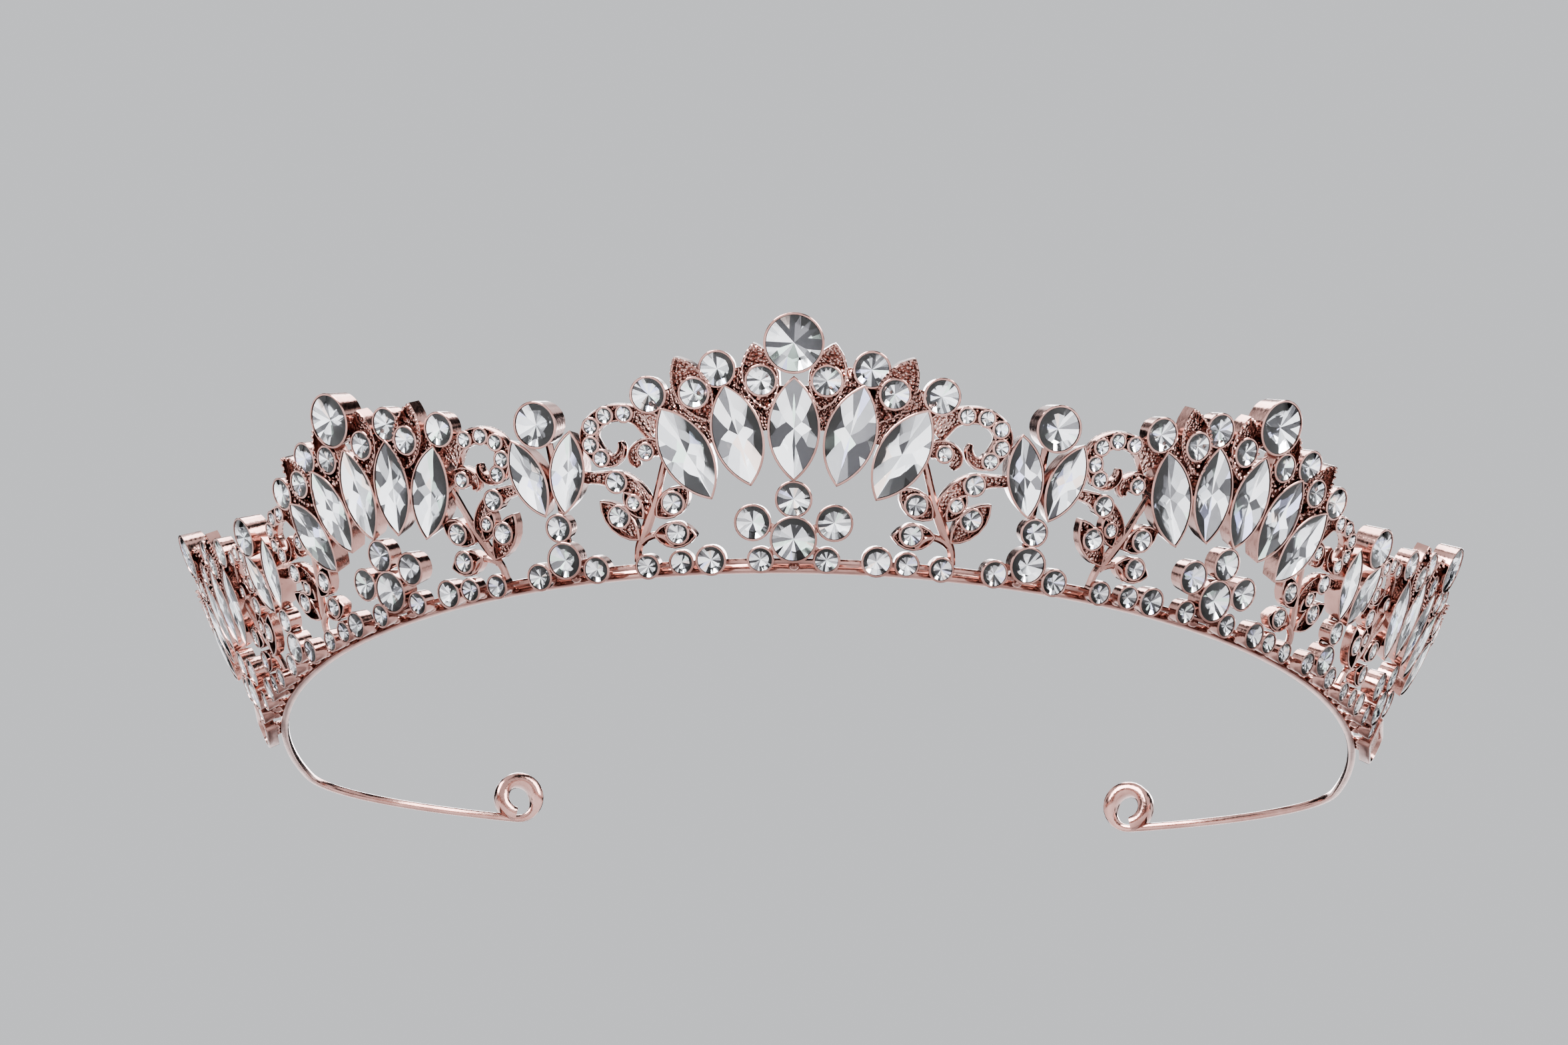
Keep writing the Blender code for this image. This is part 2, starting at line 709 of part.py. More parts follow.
def build_end_tab(side, hand, parent):
    """The rimmed plate that covers the joint between crown and arm."""
    name = "end_tab_" + side
    middle = CROWN_END + TAB_OVERLAP - TAB_LENGTH / 2
    spot = Spot(hand * middle, hand)
    plate, recess = bmesh.new(), bmesh.new()
    place = (0.0, TAB_HEIGHT / 2 - BAND_SINK)
    front = CASTING_BACK + TAB_THICKNESS
    prism(plate, spot, place, tab_outline(0.0), CASTING_BACK, front + TAB_RIM)
    prism(recess, spot, place, tab_outline(TAB_RIM), front, front + 2 * TAB_RIM)
    mesh = combined(name, plate, pockets=recess)
    seat_casting(name, mesh, gold(name), parent, spot)


# ---------------------------------------------------------------- assembly


def settle(top):
    """Moves the whole tiara so that its box stands on the origin."""
    bpy.context.view_layer.update()
    corners = [
        obj.matrix_world @ vertex.co
        for obj in bpy.data.objects
        if obj.type == "MESH"
        for vertex in obj.data.vertices
    ]
    low = Vector([min(corner[i] for corner in corners) for i in range(3)])
    high = Vector([max(corner[i] for corner in corners) for i in range(3)])
    middle = (low + high) / 2
    top.location = (-middle.x, -middle.y, -low.z)


def build_tiara():
    clear_scene()
    top = add_empty("tiara")
    build_band_front(top)
    for side, hand in (("left", -1), ("right", 1)):
        build_arm(side, hand, top)
        build_end_tab(side, hand, top)
    fans = ("left_end", "left", "centre", "right", "right_end")
    for number, name in enumerate(fans):
        build_fan(name, 2 * PITCH * (number - FAN_COUNT // 2), top)
    twins = ("left_outer", "left_inner", "right_inner", "right_outer")
    for number, name in enumerate(twins):
        build_twin(name, PITCH * (2 * number - 3), top)
    for side, hand in (("left", -1), ("right", 1)):
        for number in range(4):
            # The first and third scrolls grow away from the brow, the others towards it.
            outward = 1 if number % 2 == 0 else -1
            fan_along = hand * 2 * PITCH * ((number + 1) // 2)
            build_scroll(f"{side}_{number + 1}", fan_along, hand * outward, top)
    settle(top)


build_tiara()
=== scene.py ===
"""A rose gold bridal tiara set with clear crystals, shown on a pale floor."""

import math
import random

import bmesh
import bpy
from bmesh.types import BMEdge, BMFace, BMVert
from mathutils import Matrix, Vector


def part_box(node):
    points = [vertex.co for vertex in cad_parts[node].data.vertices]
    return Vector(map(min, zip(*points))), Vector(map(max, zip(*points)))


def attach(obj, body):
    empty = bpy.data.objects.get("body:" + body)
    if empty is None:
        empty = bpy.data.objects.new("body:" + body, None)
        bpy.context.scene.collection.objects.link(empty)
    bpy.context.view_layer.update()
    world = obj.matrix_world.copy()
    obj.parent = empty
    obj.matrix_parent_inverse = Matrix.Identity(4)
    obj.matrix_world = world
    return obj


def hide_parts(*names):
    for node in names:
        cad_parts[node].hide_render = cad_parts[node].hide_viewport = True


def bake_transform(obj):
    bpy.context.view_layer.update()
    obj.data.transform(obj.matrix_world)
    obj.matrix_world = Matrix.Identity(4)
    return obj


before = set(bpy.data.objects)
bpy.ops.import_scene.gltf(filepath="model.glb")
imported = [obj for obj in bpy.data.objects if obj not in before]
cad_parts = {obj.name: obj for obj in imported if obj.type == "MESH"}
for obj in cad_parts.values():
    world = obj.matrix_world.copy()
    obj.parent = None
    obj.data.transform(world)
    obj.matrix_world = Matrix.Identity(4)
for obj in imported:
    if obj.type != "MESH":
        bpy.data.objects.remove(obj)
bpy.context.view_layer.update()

MM = 0.001

# ------------------------------------------------------------------ camera
# The tiara is seen from a little below the brow, so that the fans stand up
# against the backdrop and the two arms show beneath them.
BAND_SET_IN = 0.365 * MM  # the band's outer face, in from the ring on which the crown stands
BAND_SINK = 0.5 * MM  # the band's lower edge, below that ring
band_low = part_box("band_front")[0]
BROW = Vector((0.0, band_low[1] - BAND_SET_IN, band_low[2] + BAND_SINK))
CAMERA_PLACE = BROW + Vector((9.28, -212.2, -75.68)) * MM
CAMERA_PAN = math.radians(2.82)
CAMERA_RISE = math.radians(20.73)
CAMERA_ROLL = math.radians(1.56)
LENS = 50.49  # this and the sensor's width are in millimetres already
SENSOR_WIDTH = 36.0

camera = bpy.data.objects.new("camera", bpy.data.cameras.new("camera"))
bpy.context.scene.collection.objects.link(camera)
camera.data.lens = LENS
camera.data.sensor_width = SENSOR_WIDTH
camera.data.clip_start = 5 * MM
camera.matrix_world = (
    Matrix.Translation(CAMERA_PLACE)
    @ Matrix.Rotation(CAMERA_PAN, 4, "Z")
    @ Matrix.Rotation(math.pi / 2 + CAMERA_RISE, 4, "X")
    @ Matrix.Rotation(CAMERA_ROLL, 4, "Z")
)
bpy.context.scene.camera = camera
bpy.context.scene.view_settings.look = "AgX - Medium High Contrast"

# ------------------------------------------------------------------ studio
# A pale floor, a pale backdrop and soft boxes. The floor shows its upper side
# only, because the camera looks up from beneath it. The metal and the crystals
# reflect a dark room with bright panels.
FLOOR_SIZE = 3.0
FLOOR_TONE = (0.56, 0.56, 0.57, 1.0)
BACKDROP_TONE = (0.62, 0.63, 0.65, 1.0)
ROOM_TONE = (0.03, 0.031, 0.034, 1.0)
PANEL_TONE = (1.45, 1.46, 1.49, 1.0)
PANEL_SCALE = 2.4
PANEL_EDGE = (0.46, 0.54)  # the noise values between which a panel fades in
LIGHT_AIM = Vector((0.0, -0.02, 0.012))


def set_inputs(node, values):
    """Gives the inputs of a node their values."""
    for label, value in values.items():
        node.inputs[label].default_value = value


sheet = bmesh.new()
bmesh.ops.create_grid(sheet, x_segments=1, y_segments=1, size=FLOOR_SIZE / 2)
floor_mesh = bpy.data.meshes.new("floor")
sheet.to_mesh(floor_mesh)
sheet.free()
floor = bpy.data.objects.new("floor", floor_mesh)
bpy.context.scene.collection.objects.link(floor)
floor_paint = bpy.data.materials.new("floor_paint")
floor_paint.use_nodes = True
nodes, links = floor_paint.node_tree.nodes, floor_paint.node_tree.links
set_inputs(nodes["Principled BSDF"], {"Base Color": FLOOR_TONE, "Roughness": 0.7})
side = nodes.new("ShaderNodeNewGeometry")
clear = nodes.new("ShaderNodeBsdfTransparent")
one_sided = nodes.new("ShaderNodeMixShader")
links.new(side.outputs["Backfacing"], one_sided.inputs[0])
links.new(nodes["Principled BSDF"].outputs[0], one_sided.inputs[1])
links.new(clear.outputs[0], one_sided.inputs[2])
links.new(one_sided.outputs[0], nodes["Material Output"].inputs["Surface"])
floor_mesh.materials.append(floor_paint)

room = bpy.data.worlds.new("room")
bpy.context.scene.world = room
room.use_nodes = True
nodes, links = room.node_tree.nodes, room.node_tree.links
ray = nodes.new("ShaderNodeLightPath")
direction = nodes.new("ShaderNodeTexCoord")
panels = nodes.new("ShaderNodeTexNoise")
set_inputs(panels, {"Scale": PANEL_SCALE, "Detail": 1.0})
edge = nodes.new("ShaderNodeMapRange")
edge.interpolation_type = "SMOOTHSTEP"
set_inputs(edge, {"From Min": PANEL_EDGE[0], "From Max": PANEL_EDGE[1]})
walls = nodes.new("ShaderNodeMix")
walls.data_type = "RGBA"
set_inputs(walls, {"A": ROOM_TONE, "B": PANEL_TONE})
seen = nodes.new("ShaderNodeMix")
seen.data_type = "RGBA"
set_inputs(seen, {"B": BACKDROP_TONE})
links.new(direction.outputs["Generated"], panels.inputs["Vector"])
links.new(panels.outputs["Fac"], edge.inputs["Value"])
links.new(edge.outputs["Result"], walls.inputs["Factor"])
links.new(walls.outputs["Result"], seen.inputs["A"])
links.new(ray.outputs["Is Camera Ray"], seen.inputs["Factor"])
links.new(seen.outputs["Result"], nodes["Background"].inputs["Color"])


def soft_box(name, place, size, watts, tone=(1.0, 1.0, 1.0)):
    """A rectangular area light that faces the middle of the crown."""
    light = bpy.data.lights.new(name, "AREA")
    light.shape = "RECTANGLE"
    light.size, light.size_y = size
    light.energy = watts
    light.color = tone
    box = bpy.data.objects.new(name, light)
    bpy.context.scene.collection.objects.link(box)
    turn = (LIGHT_AIM - Vector(place)).to_track_quat("-Z", "Y")
    box.matrix_world = Matrix.Translation(place) @ turn.to_matrix().to_4x4()
    box.visible_camera = False


soft_box("key_box", place=(-0.38, -0.62, 0.42), size=(0.5, 0.4), watts=11.0)
soft_box("fill_box", place=(0.55, -0.42, 0.32), size=(0.3, 0.4), watts=4.5, tone=(1.0, 0.98, 0.96))
soft_box("low_box", place=(0.05, -0.7, -0.32), size=(0.5, 0.16), watts=3.0, tone=(0.96, 0.98, 1.0))
soft_box("top_box", place=(0.0, 0.1, 0.75), size=(0.6, 0.6), watts=9.0)
soft_box("back_box", place=(0.1, 0.7, 0.35), size=(0.7, 0.3), watts=5.0, tone=(0.95, 0.97, 1.0))

# ------------------------------------------------------------------ head band
# A sprung strip of rose gold plated brass that follows half an ellipse round the
# brow. It is drawn with rounded edges and polished. The crown is soldered to it.
BAND_HEIGHT = 1.1 * MM
BAND_THICKNESS = 1.0 * MM
HALF_WIDTH = 73.5 * MM
BROW_DEPTH = 92.0 * MM  # from the brow back to where the ring is widest
NAPE_DEPTH = 33.0 * MM  # and from there to the nape
CROWN_END = 111.5 * MM
BAND_SEAM = 106.5 * MM  # where an arm is let into the band, under its tab
BAND_STEPS = 72
RING_STEP = math.pi / 1800


def ring_at(along):
    """Point of the ring, direction along it and level direction away from the head."""
    turn, walked = 0.0, 0.0
    target = abs(along)
    while True:
        depth = BROW_DEPTH if turn <= math.pi / 2 else NAPE_DEPTH
        stride = RING_STEP * math.hypot(HALF_WIDTH * math.cos(turn), depth * math.sin(turn))
        if walked + stride > target:
            break
        walked += stride
        turn += RING_STEP
    turn = math.copysign(turn + RING_STEP * (target - walked) / stride, along)
    point = Vector((HALF_WIDTH * math.sin(turn), BROW_DEPTH - depth * math.cos(turn), 0.0))
    tangent = Vector((HALF_WIDTH * math.cos(turn), depth * math.sin(turn), 0.0)).normalized()
    return point + BROW, tangent, Vector((tangent.y, -tangent.x, 0.0))


def rounded_section(sides=12, squareness=0.55):
    """A closed section one wide and one high, with its corners rounded off."""
    section = bmesh.new()
    bmesh.ops.create_circle(section, segments=sides, radius=1.0)
    bmesh.ops.rotate(section, verts=section.verts, matrix=Matrix.Rotation(math.pi / sides, 3, "Z"))
    for vertex in section.verts:
        for axis in (0, 1):
            reach = vertex.co[axis]
            vertex.co[axis] = math.copysign(abs(reach) ** squareness, reach) / 2
    return section


def parts_of(results, kind):
    """The vertices, edges or faces among the results of an operator."""
    return [part for part in results["geom"] if isinstance(part, kind)]


def draw_through(section, stations):
    """Pulls a section through stations, each a matrix that places and sizes it, and caps it."""
    bar = section.copy()
    bmesh.ops.transform(bar, matrix=stations[0], verts=bar.verts)
    edges = bar.edges[:]
    for before, after in zip(stations, stations[1:]):
        pulled = bmesh.ops.extrude_edge_only(bar, edges=edges)
        verts = parts_of(pulled, BMVert)
        pulled_edges = parts_of(pulled, BMEdge)
        edges = [edge for edge in pulled_edges if all(end in verts for end in edge.verts)]
        bmesh.ops.transform(bar, matrix=after @ before.inverted(), verts=verts)
    bmesh.ops.holes_fill(bar, edges=bar.edges, sides=0)
    return bar


def frame_matrix(place, across, up, out, sizes=(1.0, 1.0, 1.0)):
    """A matrix from three directions, with a size along each."""
    turn = Matrix((across * sizes[0], up * sizes[1], out * sizes[2])).transposed().to_4x4()
    return Matrix.Translation(place) @ turn


def add_shape(whole, shape, matrix=None, finish=0):
    """Adds a shape to a piece, placed by a matrix. The shape is used up unless it is a mesh."""
    if isinstance(shape, bmesh.types.BMesh):
        mesh = bpy.data.meshes.new("shape")
        shape.to_mesh(mesh)
        shape.free()
    else:
        mesh = shape.copy()
    if finish:
        mesh.polygons.foreach_set("material_index", [finish] * len(mesh.polygons))
    if matrix is not None:
        mesh.transform(matrix)
    whole.from_mesh(mesh)
    bpy.data.meshes.remove(mesh)


def make_piece(name, whole, materials, nodes=(), body="crown", crease=32.0):
    """Turns a bmesh into a finished piece that stands for its CAD nodes."""
    bmesh.ops.recalc_face_normals(whole, faces=whole.faces)
    mesh = bpy.data.meshes.new(name)
    whole.to_mesh(mesh)
    whole.free()
    for material in materials:
        mesh.materials.append(material)
    mesh.shade_smooth()
    mesh.set_sharp_from_angle(angle=math.radians(crease))
    piece = bpy.data.objects.new(name, mesh)
    bpy.context.scene.collection.objects.link(piece)
    if nodes:
        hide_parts(*nodes)
    if body:
        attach(piece, body)
    return piece


def make_plating_pattern():
    """The uneven tone and faint ripple of plated metal, by place on the piece."""
    group = bpy.data.node_groups.new("plating_pattern", "ShaderNodeTree")
    sockets = group.interface
    for label, default in (("Patch Scale", 260.0), ("Ripple Scale", 2600.0)):
        given = sockets.new_socket(label, in_out="INPUT", socket_type="NodeSocketFloat")
        given.default_value = default
    for label in ("Patches", "Ripple"):
        sockets.new_socket(label, in_out="OUTPUT", socket_type="NodeSocketFloat")
    nodes, links = group.nodes, group.links
    given, result = nodes.new("NodeGroupInput"), nodes.new("NodeGroupOutput")
    where = nodes.new("ShaderNodeTexCoord")
    for scale, label in (("Patch Scale", "Patches"), ("Ripple Scale", "Ripple")):
        noise = nodes.new("ShaderNodeTexNoise")
        set_inputs(noise, {"Detail": 3.0})
        spread = nodes.new("ShaderNodeMapRange")
        set_inputs(spread, {"From Min": 0.3, "From Max": 0.7})
        links.new(where.outputs["Object"], noise.inputs["Vector"])
        links.new(given.outputs[scale], noise.inputs["Scale"])
        links.new(noise.outputs["Fac"], spread.inputs["Value"])
        links.new(spread.outputs["Result"], result.inputs[label])
    return group


plating_pattern = make_plating_pattern()
RIPPLE_DEPTH = 0.02 * MM
ROSE_LIGHT = (0.47, 0.295, 0.262, 1.0)
ROSE_DARK = (0.30, 0.17, 0.148, 1.0)


def make_plating(name, light, dark, smooth, rough, ripple):
    """Rose gold plate between two tones and two roughnesses, with a faint ripple."""
    material = bpy.data.materials.new(name)
    material.use_nodes = True
    nodes, links = material.node_tree.nodes, material.node_tree.links
    shader = nodes["Principled BSDF"]
    set_inputs(shader, {"Metallic": 1.0})
    pattern = nodes.new("ShaderNodeGroup")
    pattern.node_tree = plating_pattern
    tone = nodes.new("ShaderNodeMix")
    tone.data_type = "RGBA"
    set_inputs(tone, {"A": dark, "B": light})
    gloss = nodes.new("ShaderNodeMapRange")
    set_inputs(gloss, {"To Min": smooth, "To Max": rough})
    bump = nodes.new("ShaderNodeBump")
    set_inputs(bump, {"Strength": ripple, "Distance": RIPPLE_DEPTH})
    links.new(pattern.outputs["Patches"], tone.inputs["Factor"])
    links.new(tone.outputs["Result"], shader.inputs["Base Color"])
    links.new(pattern.outputs["Ripple"], gloss.inputs["Value"])
    links.new(gloss.outputs["Result"], shader.inputs["Roughness"])
    links.new(pattern.outputs["Ripple"], bump.inputs["Height"])
    links.new(bump.outputs["Normal"], shader.inputs["Normal"])
    return material


band_polish = make_plating("band_polish", ROSE_LIGHT, ROSE_DARK, smooth=0.1, rough=0.2, ripple=0.08)


def band_station(along):
    """The band's section at a distance from the brow."""
    point, tangent, level = ring_at(along)
    middle = point - level * (BAND_SET_IN + BAND_THICKNESS / 2)
    middle.z = band_low[2] + BAND_HEIGHT / 2
    sizes = (BAND_THICKNESS, BAND_HEIGHT, 1.0)
    return frame_matrix(middle, level, Vector((0, 0, 1)), tangent, sizes)


band_section = rounded_section()
front_stations = [
    band_station(-BAND_SEAM + 2 * BAND_SEAM * i / BAND_STEPS) for i in range(BAND_STEPS + 1)
]
whole = bmesh.new()
add_shape(whole, draw_through(band_section, front_stations))
make_piece("head_band", whole, [band_polish], ["band_front"])

# ------------------------------------------------------------------ sprung arms
# Each arm is the same strip, let into the band under a tab. Its end is widened and
# curled over into a thick eye for a hair ribbon.
ARM_END_GAP = 96.0 * MM
EYE_DIAMETER = 7.6 * MM
EYE_WALL = 2.2 * MM
EYE_WIDTH = 3.0 * MM
EYE_REACH = 1.18 * MM  # its middle, past the arm's end
EYE_STEPS = 26
EYE_ARC = 352.0  # degrees of its curl
EYE_GROWTH = 3.2  # its wall is full after its whole length over this
EYE_LEAD = 1.5 * MM  # from the last straight section to the arm's end
ARM_STEPS = 46
SEAM_WIDTH = 0.05 * MM
FLEX_HALF = 5.0 * MM  # a length to each side of the tab's end; the two ring points it gives are not used
SIDES = (("left", -1), ("right", 1))


def arm_reach():
    """Distance from the brow at which an arm reaches its half of the gap at the nape."""
    along = CROWN_END
    while ring_at(along)[1].x > 0 or ring_at(along)[0].x > ARM_END_GAP / 2:
        along += 0.05 * MM
    return along


arm_end = arm_reach()


def curl_stations(hand):
    """Sections of the eye, from the arm's end round nearly a full turn."""
    point, tangent, level = ring_at(hand * arm_end)
    tangent = tangent * hand
    upright = Vector((0, 0, 1))
    middle = point - level * (BAND_SET_IN + BAND_THICKNESS / 2)
    middle += tangent * EYE_REACH
    middle.z = band_low[2] + EYE_DIAMETER / 2
    stations = []
    for i in range(EYE_STEPS + 1):
        share = i / EYE_STEPS
        angle = math.radians(-90 + EYE_ARC * share)
        grown = min(1.0, EYE_GROWTH * share)
        grown = grown * grown * (3 - 2 * grown)
        wall = BAND_HEIGHT + (EYE_WALL - BAND_HEIGHT) * grown
        width = BAND_THICKNESS + (EYE_WIDTH - BAND_THICKNESS) * grown
        radial = tangent * math.cos(angle) + upright * math.sin(angle)
        forward = upright * math.cos(angle) - tangent * math.sin(angle)
        place = middle + radial * ((EYE_DIAMETER - wall) / 2)
        stations.append(frame_matrix(place, level, -radial, forward, (width, wall, 1.0)))
    return stations


for side_name, hand in SIDES:
    whole = bmesh.new()
    start, end = BAND_SEAM + SEAM_WIDTH, arm_end - EYE_LEAD
    strip = [
        band_station(hand * (start + (end - start) * i / ARM_STEPS)) for i in range(ARM_STEPS + 1)
    ]
    if hand < 0:
        # The sections of the left strip face the other way from those of its eye.
        strip = [station @ Matrix.Diagonal((1, 1, -1, 1)) for station in strip]
    add_shape(whole, draw_through(band_section, strip + curl_stations(hand)))
    arm = make_piece(
        "arm_" + side_name, whole, [band_polish], ["band_arm_" + side_name], body=None
    )
    flex_start = ring_at(hand * (CROWN_END - FLEX_HALF))[0]
    flex_end = ring_at(hand * (CROWN_END + FLEX_HALF))[0]
    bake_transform(arm)

# ------------------------------------------------------------------ end tabs
# A small cast plate with a raised, polished rim closes each end of the crown. Its far
# end is round. Drops of solder hold it, like every casting, to the band behind it.
TAB_LENGTH = 10.5 * MM
TAB_HEIGHT = 4.4 * MM
TAB_DEPTH = 1.4 * MM
TAB_OVERLAP = 0.7 * MM
TAB_CORNER = 0.6 * MM
TAB_RIM = ((0.15, 0.15), (0.3, 0.0), (0.15, -0.45))  # inset and rise of its steps, in millimetres
TAB_SOLDER = (0.9 * MM, 2.4 * MM, 3.9 * MM)  # its drops, before the seam
SOLDER_HEIGHT = 0.1 * MM
SOLDER_OUT = 0.15 * MM
SOLDER_SIZE = (0.62 * MM, 0.55 * MM, 0.9 * MM, 1.0)  # half sizes across, up and out
CASTING_BACK = 0.3 * MM  # back of the castings, out from the ring
CROWN_LEAN = math.radians(29.0)
GRAIN_SIZE = 0.34 * MM
GRAIN_DEPTH = 0.22 * MM
GRAIN_LIGHT = (0.66, 0.48, 0.44, 1.0)
GRAIN_DARK = (0.48, 0.32, 0.29, 1.0)
# Painted shade, mixed into the valleys between the grains
GRAIN_VALLEY_SHADE = (0.14, 0.09, 0.082, 1.0)
BACK_TURN = -0.85  # a face turned further from a casting's front than this is its back


def crown_matrix(along, hand=1, across=0.0, height=0.0, out=0.0, turn=0.0):
    """Places a shape on the leaning crown: x across, y up it and z out, turned clockwise."""
    point, tangent, level = ring_at(along + hand * across)
    upright = Vector((0, 0, 1))
    up = level * math.sin(CROWN_LEAN) + upright * math.cos(CROWN_LEAN)
    front = level * math.cos(CROWN_LEAN) - upright * math.sin(CROWN_LEAN)
    place = frame_matrix(point + up * height + front * out, tangent * hand, up, front)
    return place @ Matrix.Rotation(-turn, 4, "Z")


def make_granulation(name):
    """Cast rose gold left grainy: small round grains, with painted shade darkening the valleys
    between them.
    """
    material = make_plating(name, GRAIN_LIGHT, GRAIN_DARK, smooth=0.14, rough=0.28, ripple=0.3)
    nodes, links = material.node_tree.nodes, material.node_tree.links
    shader = nodes["Principled BSDF"]
    where = nodes.new("ShaderNodeTexCoord")
    grains = nodes.new("ShaderNodeTexVoronoi")
    set_inputs(grains, {"Scale": 1.0 / GRAIN_SIZE})
    # Painted shade mask: darker where a point lies further from the middle of its grain
    valley_shade = nodes.new("ShaderNodeMapRange")
    set_inputs(valley_shade, {"From Min": 0.25, "From Max": 0.75, "To Min": 0.0, "To Max": 0.7})
    shade = nodes.new("ShaderNodeMix")
    shade.data_type = "RGBA"
    set_inputs(shade, {"B": GRAIN_VALLEY_SHADE})
    bump = nodes.new("ShaderNodeBump")
    bump.invert = True
    set_inputs(bump, {"Strength": 1.0, "Distance": GRAIN_DEPTH})
    base = shader.inputs["Base Color"].links[0].from_socket
    links.new(where.outputs["Object"], grains.inputs["Vector"])
    links.new(grains.outputs["Distance"], valley_shade.inputs["Value"])
    links.new(grains.outputs["Distance"], bump.inputs["Height"])
    links.new(valley_shade.outputs["Result"], shade.inputs["Factor"])
    links.new(base, shade.inputs["A"])
    links.new(shade.outputs["Result"], shader.inputs["Base Color"])
    links.new(bump.outputs["Normal"], shader.inputs["Normal"])
    return material


CASTING_FINISHES = [
    make_plating("cast_polish", ROSE_LIGHT, ROSE_DARK, smooth=0.08, rough=0.2, ripple=0.3),
    make_granulation("cast_grain"),
    make_plating("cast_satin", ROSE_LIGHT, ROSE_DARK, smooth=0.26, rough=0.44, ripple=0.6),
]
GRAIN, SATIN = 1, 2  # their places in that list


def finish_casting(label, whole, nodes, front):
    """Makes a casting a piece. Its back, on the far side from its front, is left satin."""
    casting = make_piece(label, whole, CASTING_FINISHES, nodes)
    for face in casting.data.polygons:
        if face.normal.dot(front) < BACK_TURN:
            face.material_index = SATIN


def add_solder(whole, along, hand=1, across=0.0):
    """A drop of solder between a casting and the band."""
    drop = bmesh.new()
    bmesh.ops.create_icosphere(drop, subdivisions=2, radius=1.0)
    place = crown_matrix(along, hand, across, SOLDER_HEIGHT, SOLDER_OUT)
    add_shape(whole, drop, place @ Matrix.Diagonal(SOLDER_SIZE))


for side_name, hand in SIDES:
    plate = bmesh.new()
    bmesh.ops.create_grid(plate, x_segments=1, y_segments=1, size=0.5)
    bmesh.ops.scale(plate, vec=(TAB_LENGTH, TAB_HEIGHT, 1.0), verts=plate.verts)
    far = [vertex for vertex in plate.verts if vertex.co.x > 0]
    bmesh.ops.bevel(
        plate, geom=far, offset=TAB_HEIGHT * 0.49, segments=8, profile=0.5, affect="VERTICES",
        material=-1,
    )
    near = [vertex for vertex in plate.verts if vertex.co.x < -0.49 * TAB_LENGTH]
    bmesh.ops.bevel(
        plate, geom=near, offset=TAB_CORNER, segments=3, profile=0.5, affect="VERTICES", material=-1
    )
    top = parts_of(bmesh.ops.extrude_face_region(plate, geom=plate.faces[:]), BMFace)
    bmesh.ops.translate(plate, vec=(0, 0, TAB_DEPTH - TAB_RIM[0][1] * MM), verts=top[0].verts[:])
    for thickness, rise in TAB_RIM:
        bmesh.ops.inset_region(plate, faces=top, thickness=thickness * MM, depth=rise * MM)
    top[0].material_index = GRAIN
    whole = bmesh.new()
    middle = hand * (CROWN_END + TAB_OVERLAP - TAB_LENGTH / 2)
    place = crown_matrix(middle, hand, height=TAB_HEIGHT / 2 - BAND_SINK, out=CASTING_BACK)
    add_shape(whole, plate, place)
    for before_seam in TAB_SOLDER:
        add_solder(whole, hand * (BAND_SEAM - before_seam), hand)
    finish_casting("tab_" + side_name, whole, ["end_tab_" + side_name], place.col[2].to_3d())

# ------------------------------------------------------------------ round crystals
# Clear lead crystal, cut with an eight-sided table over eight main facets. The back
# facets carry a silver foil, darkened on some facets as painted shade and tinted on a few as
# painted glints.
FACETS = 8
# A round stone's rings of points: how many, their reach and rise in radii, their turn
ROUND_RINGS = (
    (FACETS, 0.56, 0.09, 0.0), (FACETS, 0.82, 0.036, 0.5), (32, 1.0, 0.0, 0.0),
    (32, 1.0, -0.05, 0.0), (FACETS, 0.50, -0.16, 0.5),
)
CULET_DEPTH = 0.26  # of the point behind, in radii
GIRDLE = -0.01  # facets whose middle is below this, in radii, are foiled
FLAT_JOIN = math.radians(1.5)  # neighbouring facets that differ by less are one facet
FACET_CREASE = 2.0
GLASS_TONE = (0.98, 0.985, 1.0, 1.0)
# The facet value at which each tone starts, and the tone: near white is the foil's own, darker
# tones are painted shade, tinted ones painted glints
FOIL_SHADE_AND_GLINT_TONES = (
    (0.0, 0.05, 0.05, 0.055),
    (0.12, 0.20, 0.20, 0.21),
    (0.24, 0.46, 0.47, 0.48),
    (0.37, 0.74, 0.76, 0.78),
    (0.48, 0.98, 0.99, 1.0),
    (0.84, 0.74, 0.76, 1.0),
    (0.89, 0.80, 0.96, 0.86),
    (0.93, 1.0, 0.84, 0.76),
    (0.96, 1.0, 1.0, 1.0),
)


def make_crystal():
    """Colourless glass for the front facets."""
    material = bpy.data.materials.new("crystal_glass")
    material.use_nodes = True
    shader = material.node_tree.nodes["Principled BSDF"]
    set_inputs(shader, {"Base Color": GLASS_TONE, "Roughness": 0.0, "IOR": 1.52})
    set_inputs(shader, {"Transmission Weight": 1.0})
    return material


def make_foil():
    """Silver foil whose tone each facet's own random value picks: painted shade on the dark facets,
    painted glints with a faint tint on a few.
    """
    material = bpy.data.materials.new("crystal_foil")
    material.use_nodes = True
    nodes, links = material.node_tree.nodes, material.node_tree.links
    shader = nodes["Principled BSDF"]
    set_inputs(shader, {"Metallic": 1.0})
    painted_facet_light = nodes.new("ShaderNodeAttribute")
    painted_facet_light.attribute_name = "painted_facet_light"
    tones = nodes.new("ShaderNodeValToRGB")
    tones.color_ramp.interpolation = "CONSTANT"
    ramp = tones.color_ramp.elements
    for i, (place, *tone) in enumerate(FOIL_SHADE_AND_GLINT_TONES):
        stop = ramp[i] if i < len(ramp) else ramp.new(place)
        stop.position, stop.color = place, (*tone, 1.0)
    links.new(painted_facet_light.outputs["Fac"], tones.inputs["Fac"])
    links.new(tones.outputs["Color"], shader.inputs["Base Color"])
    gloss = nodes.new("ShaderNodeMapRange")
    set_inputs(gloss, {"To Min": 0.02, "To Max": 0.08})
    links.new(painted_facet_light.outputs["Fac"], gloss.inputs["Value"])
    links.new(gloss.outputs["Result"], shader.inputs["Roughness"])
    return material


CRYSTAL_FINISHES = [make_crystal(), make_foil()]
FOIL = 1  # its place in that list


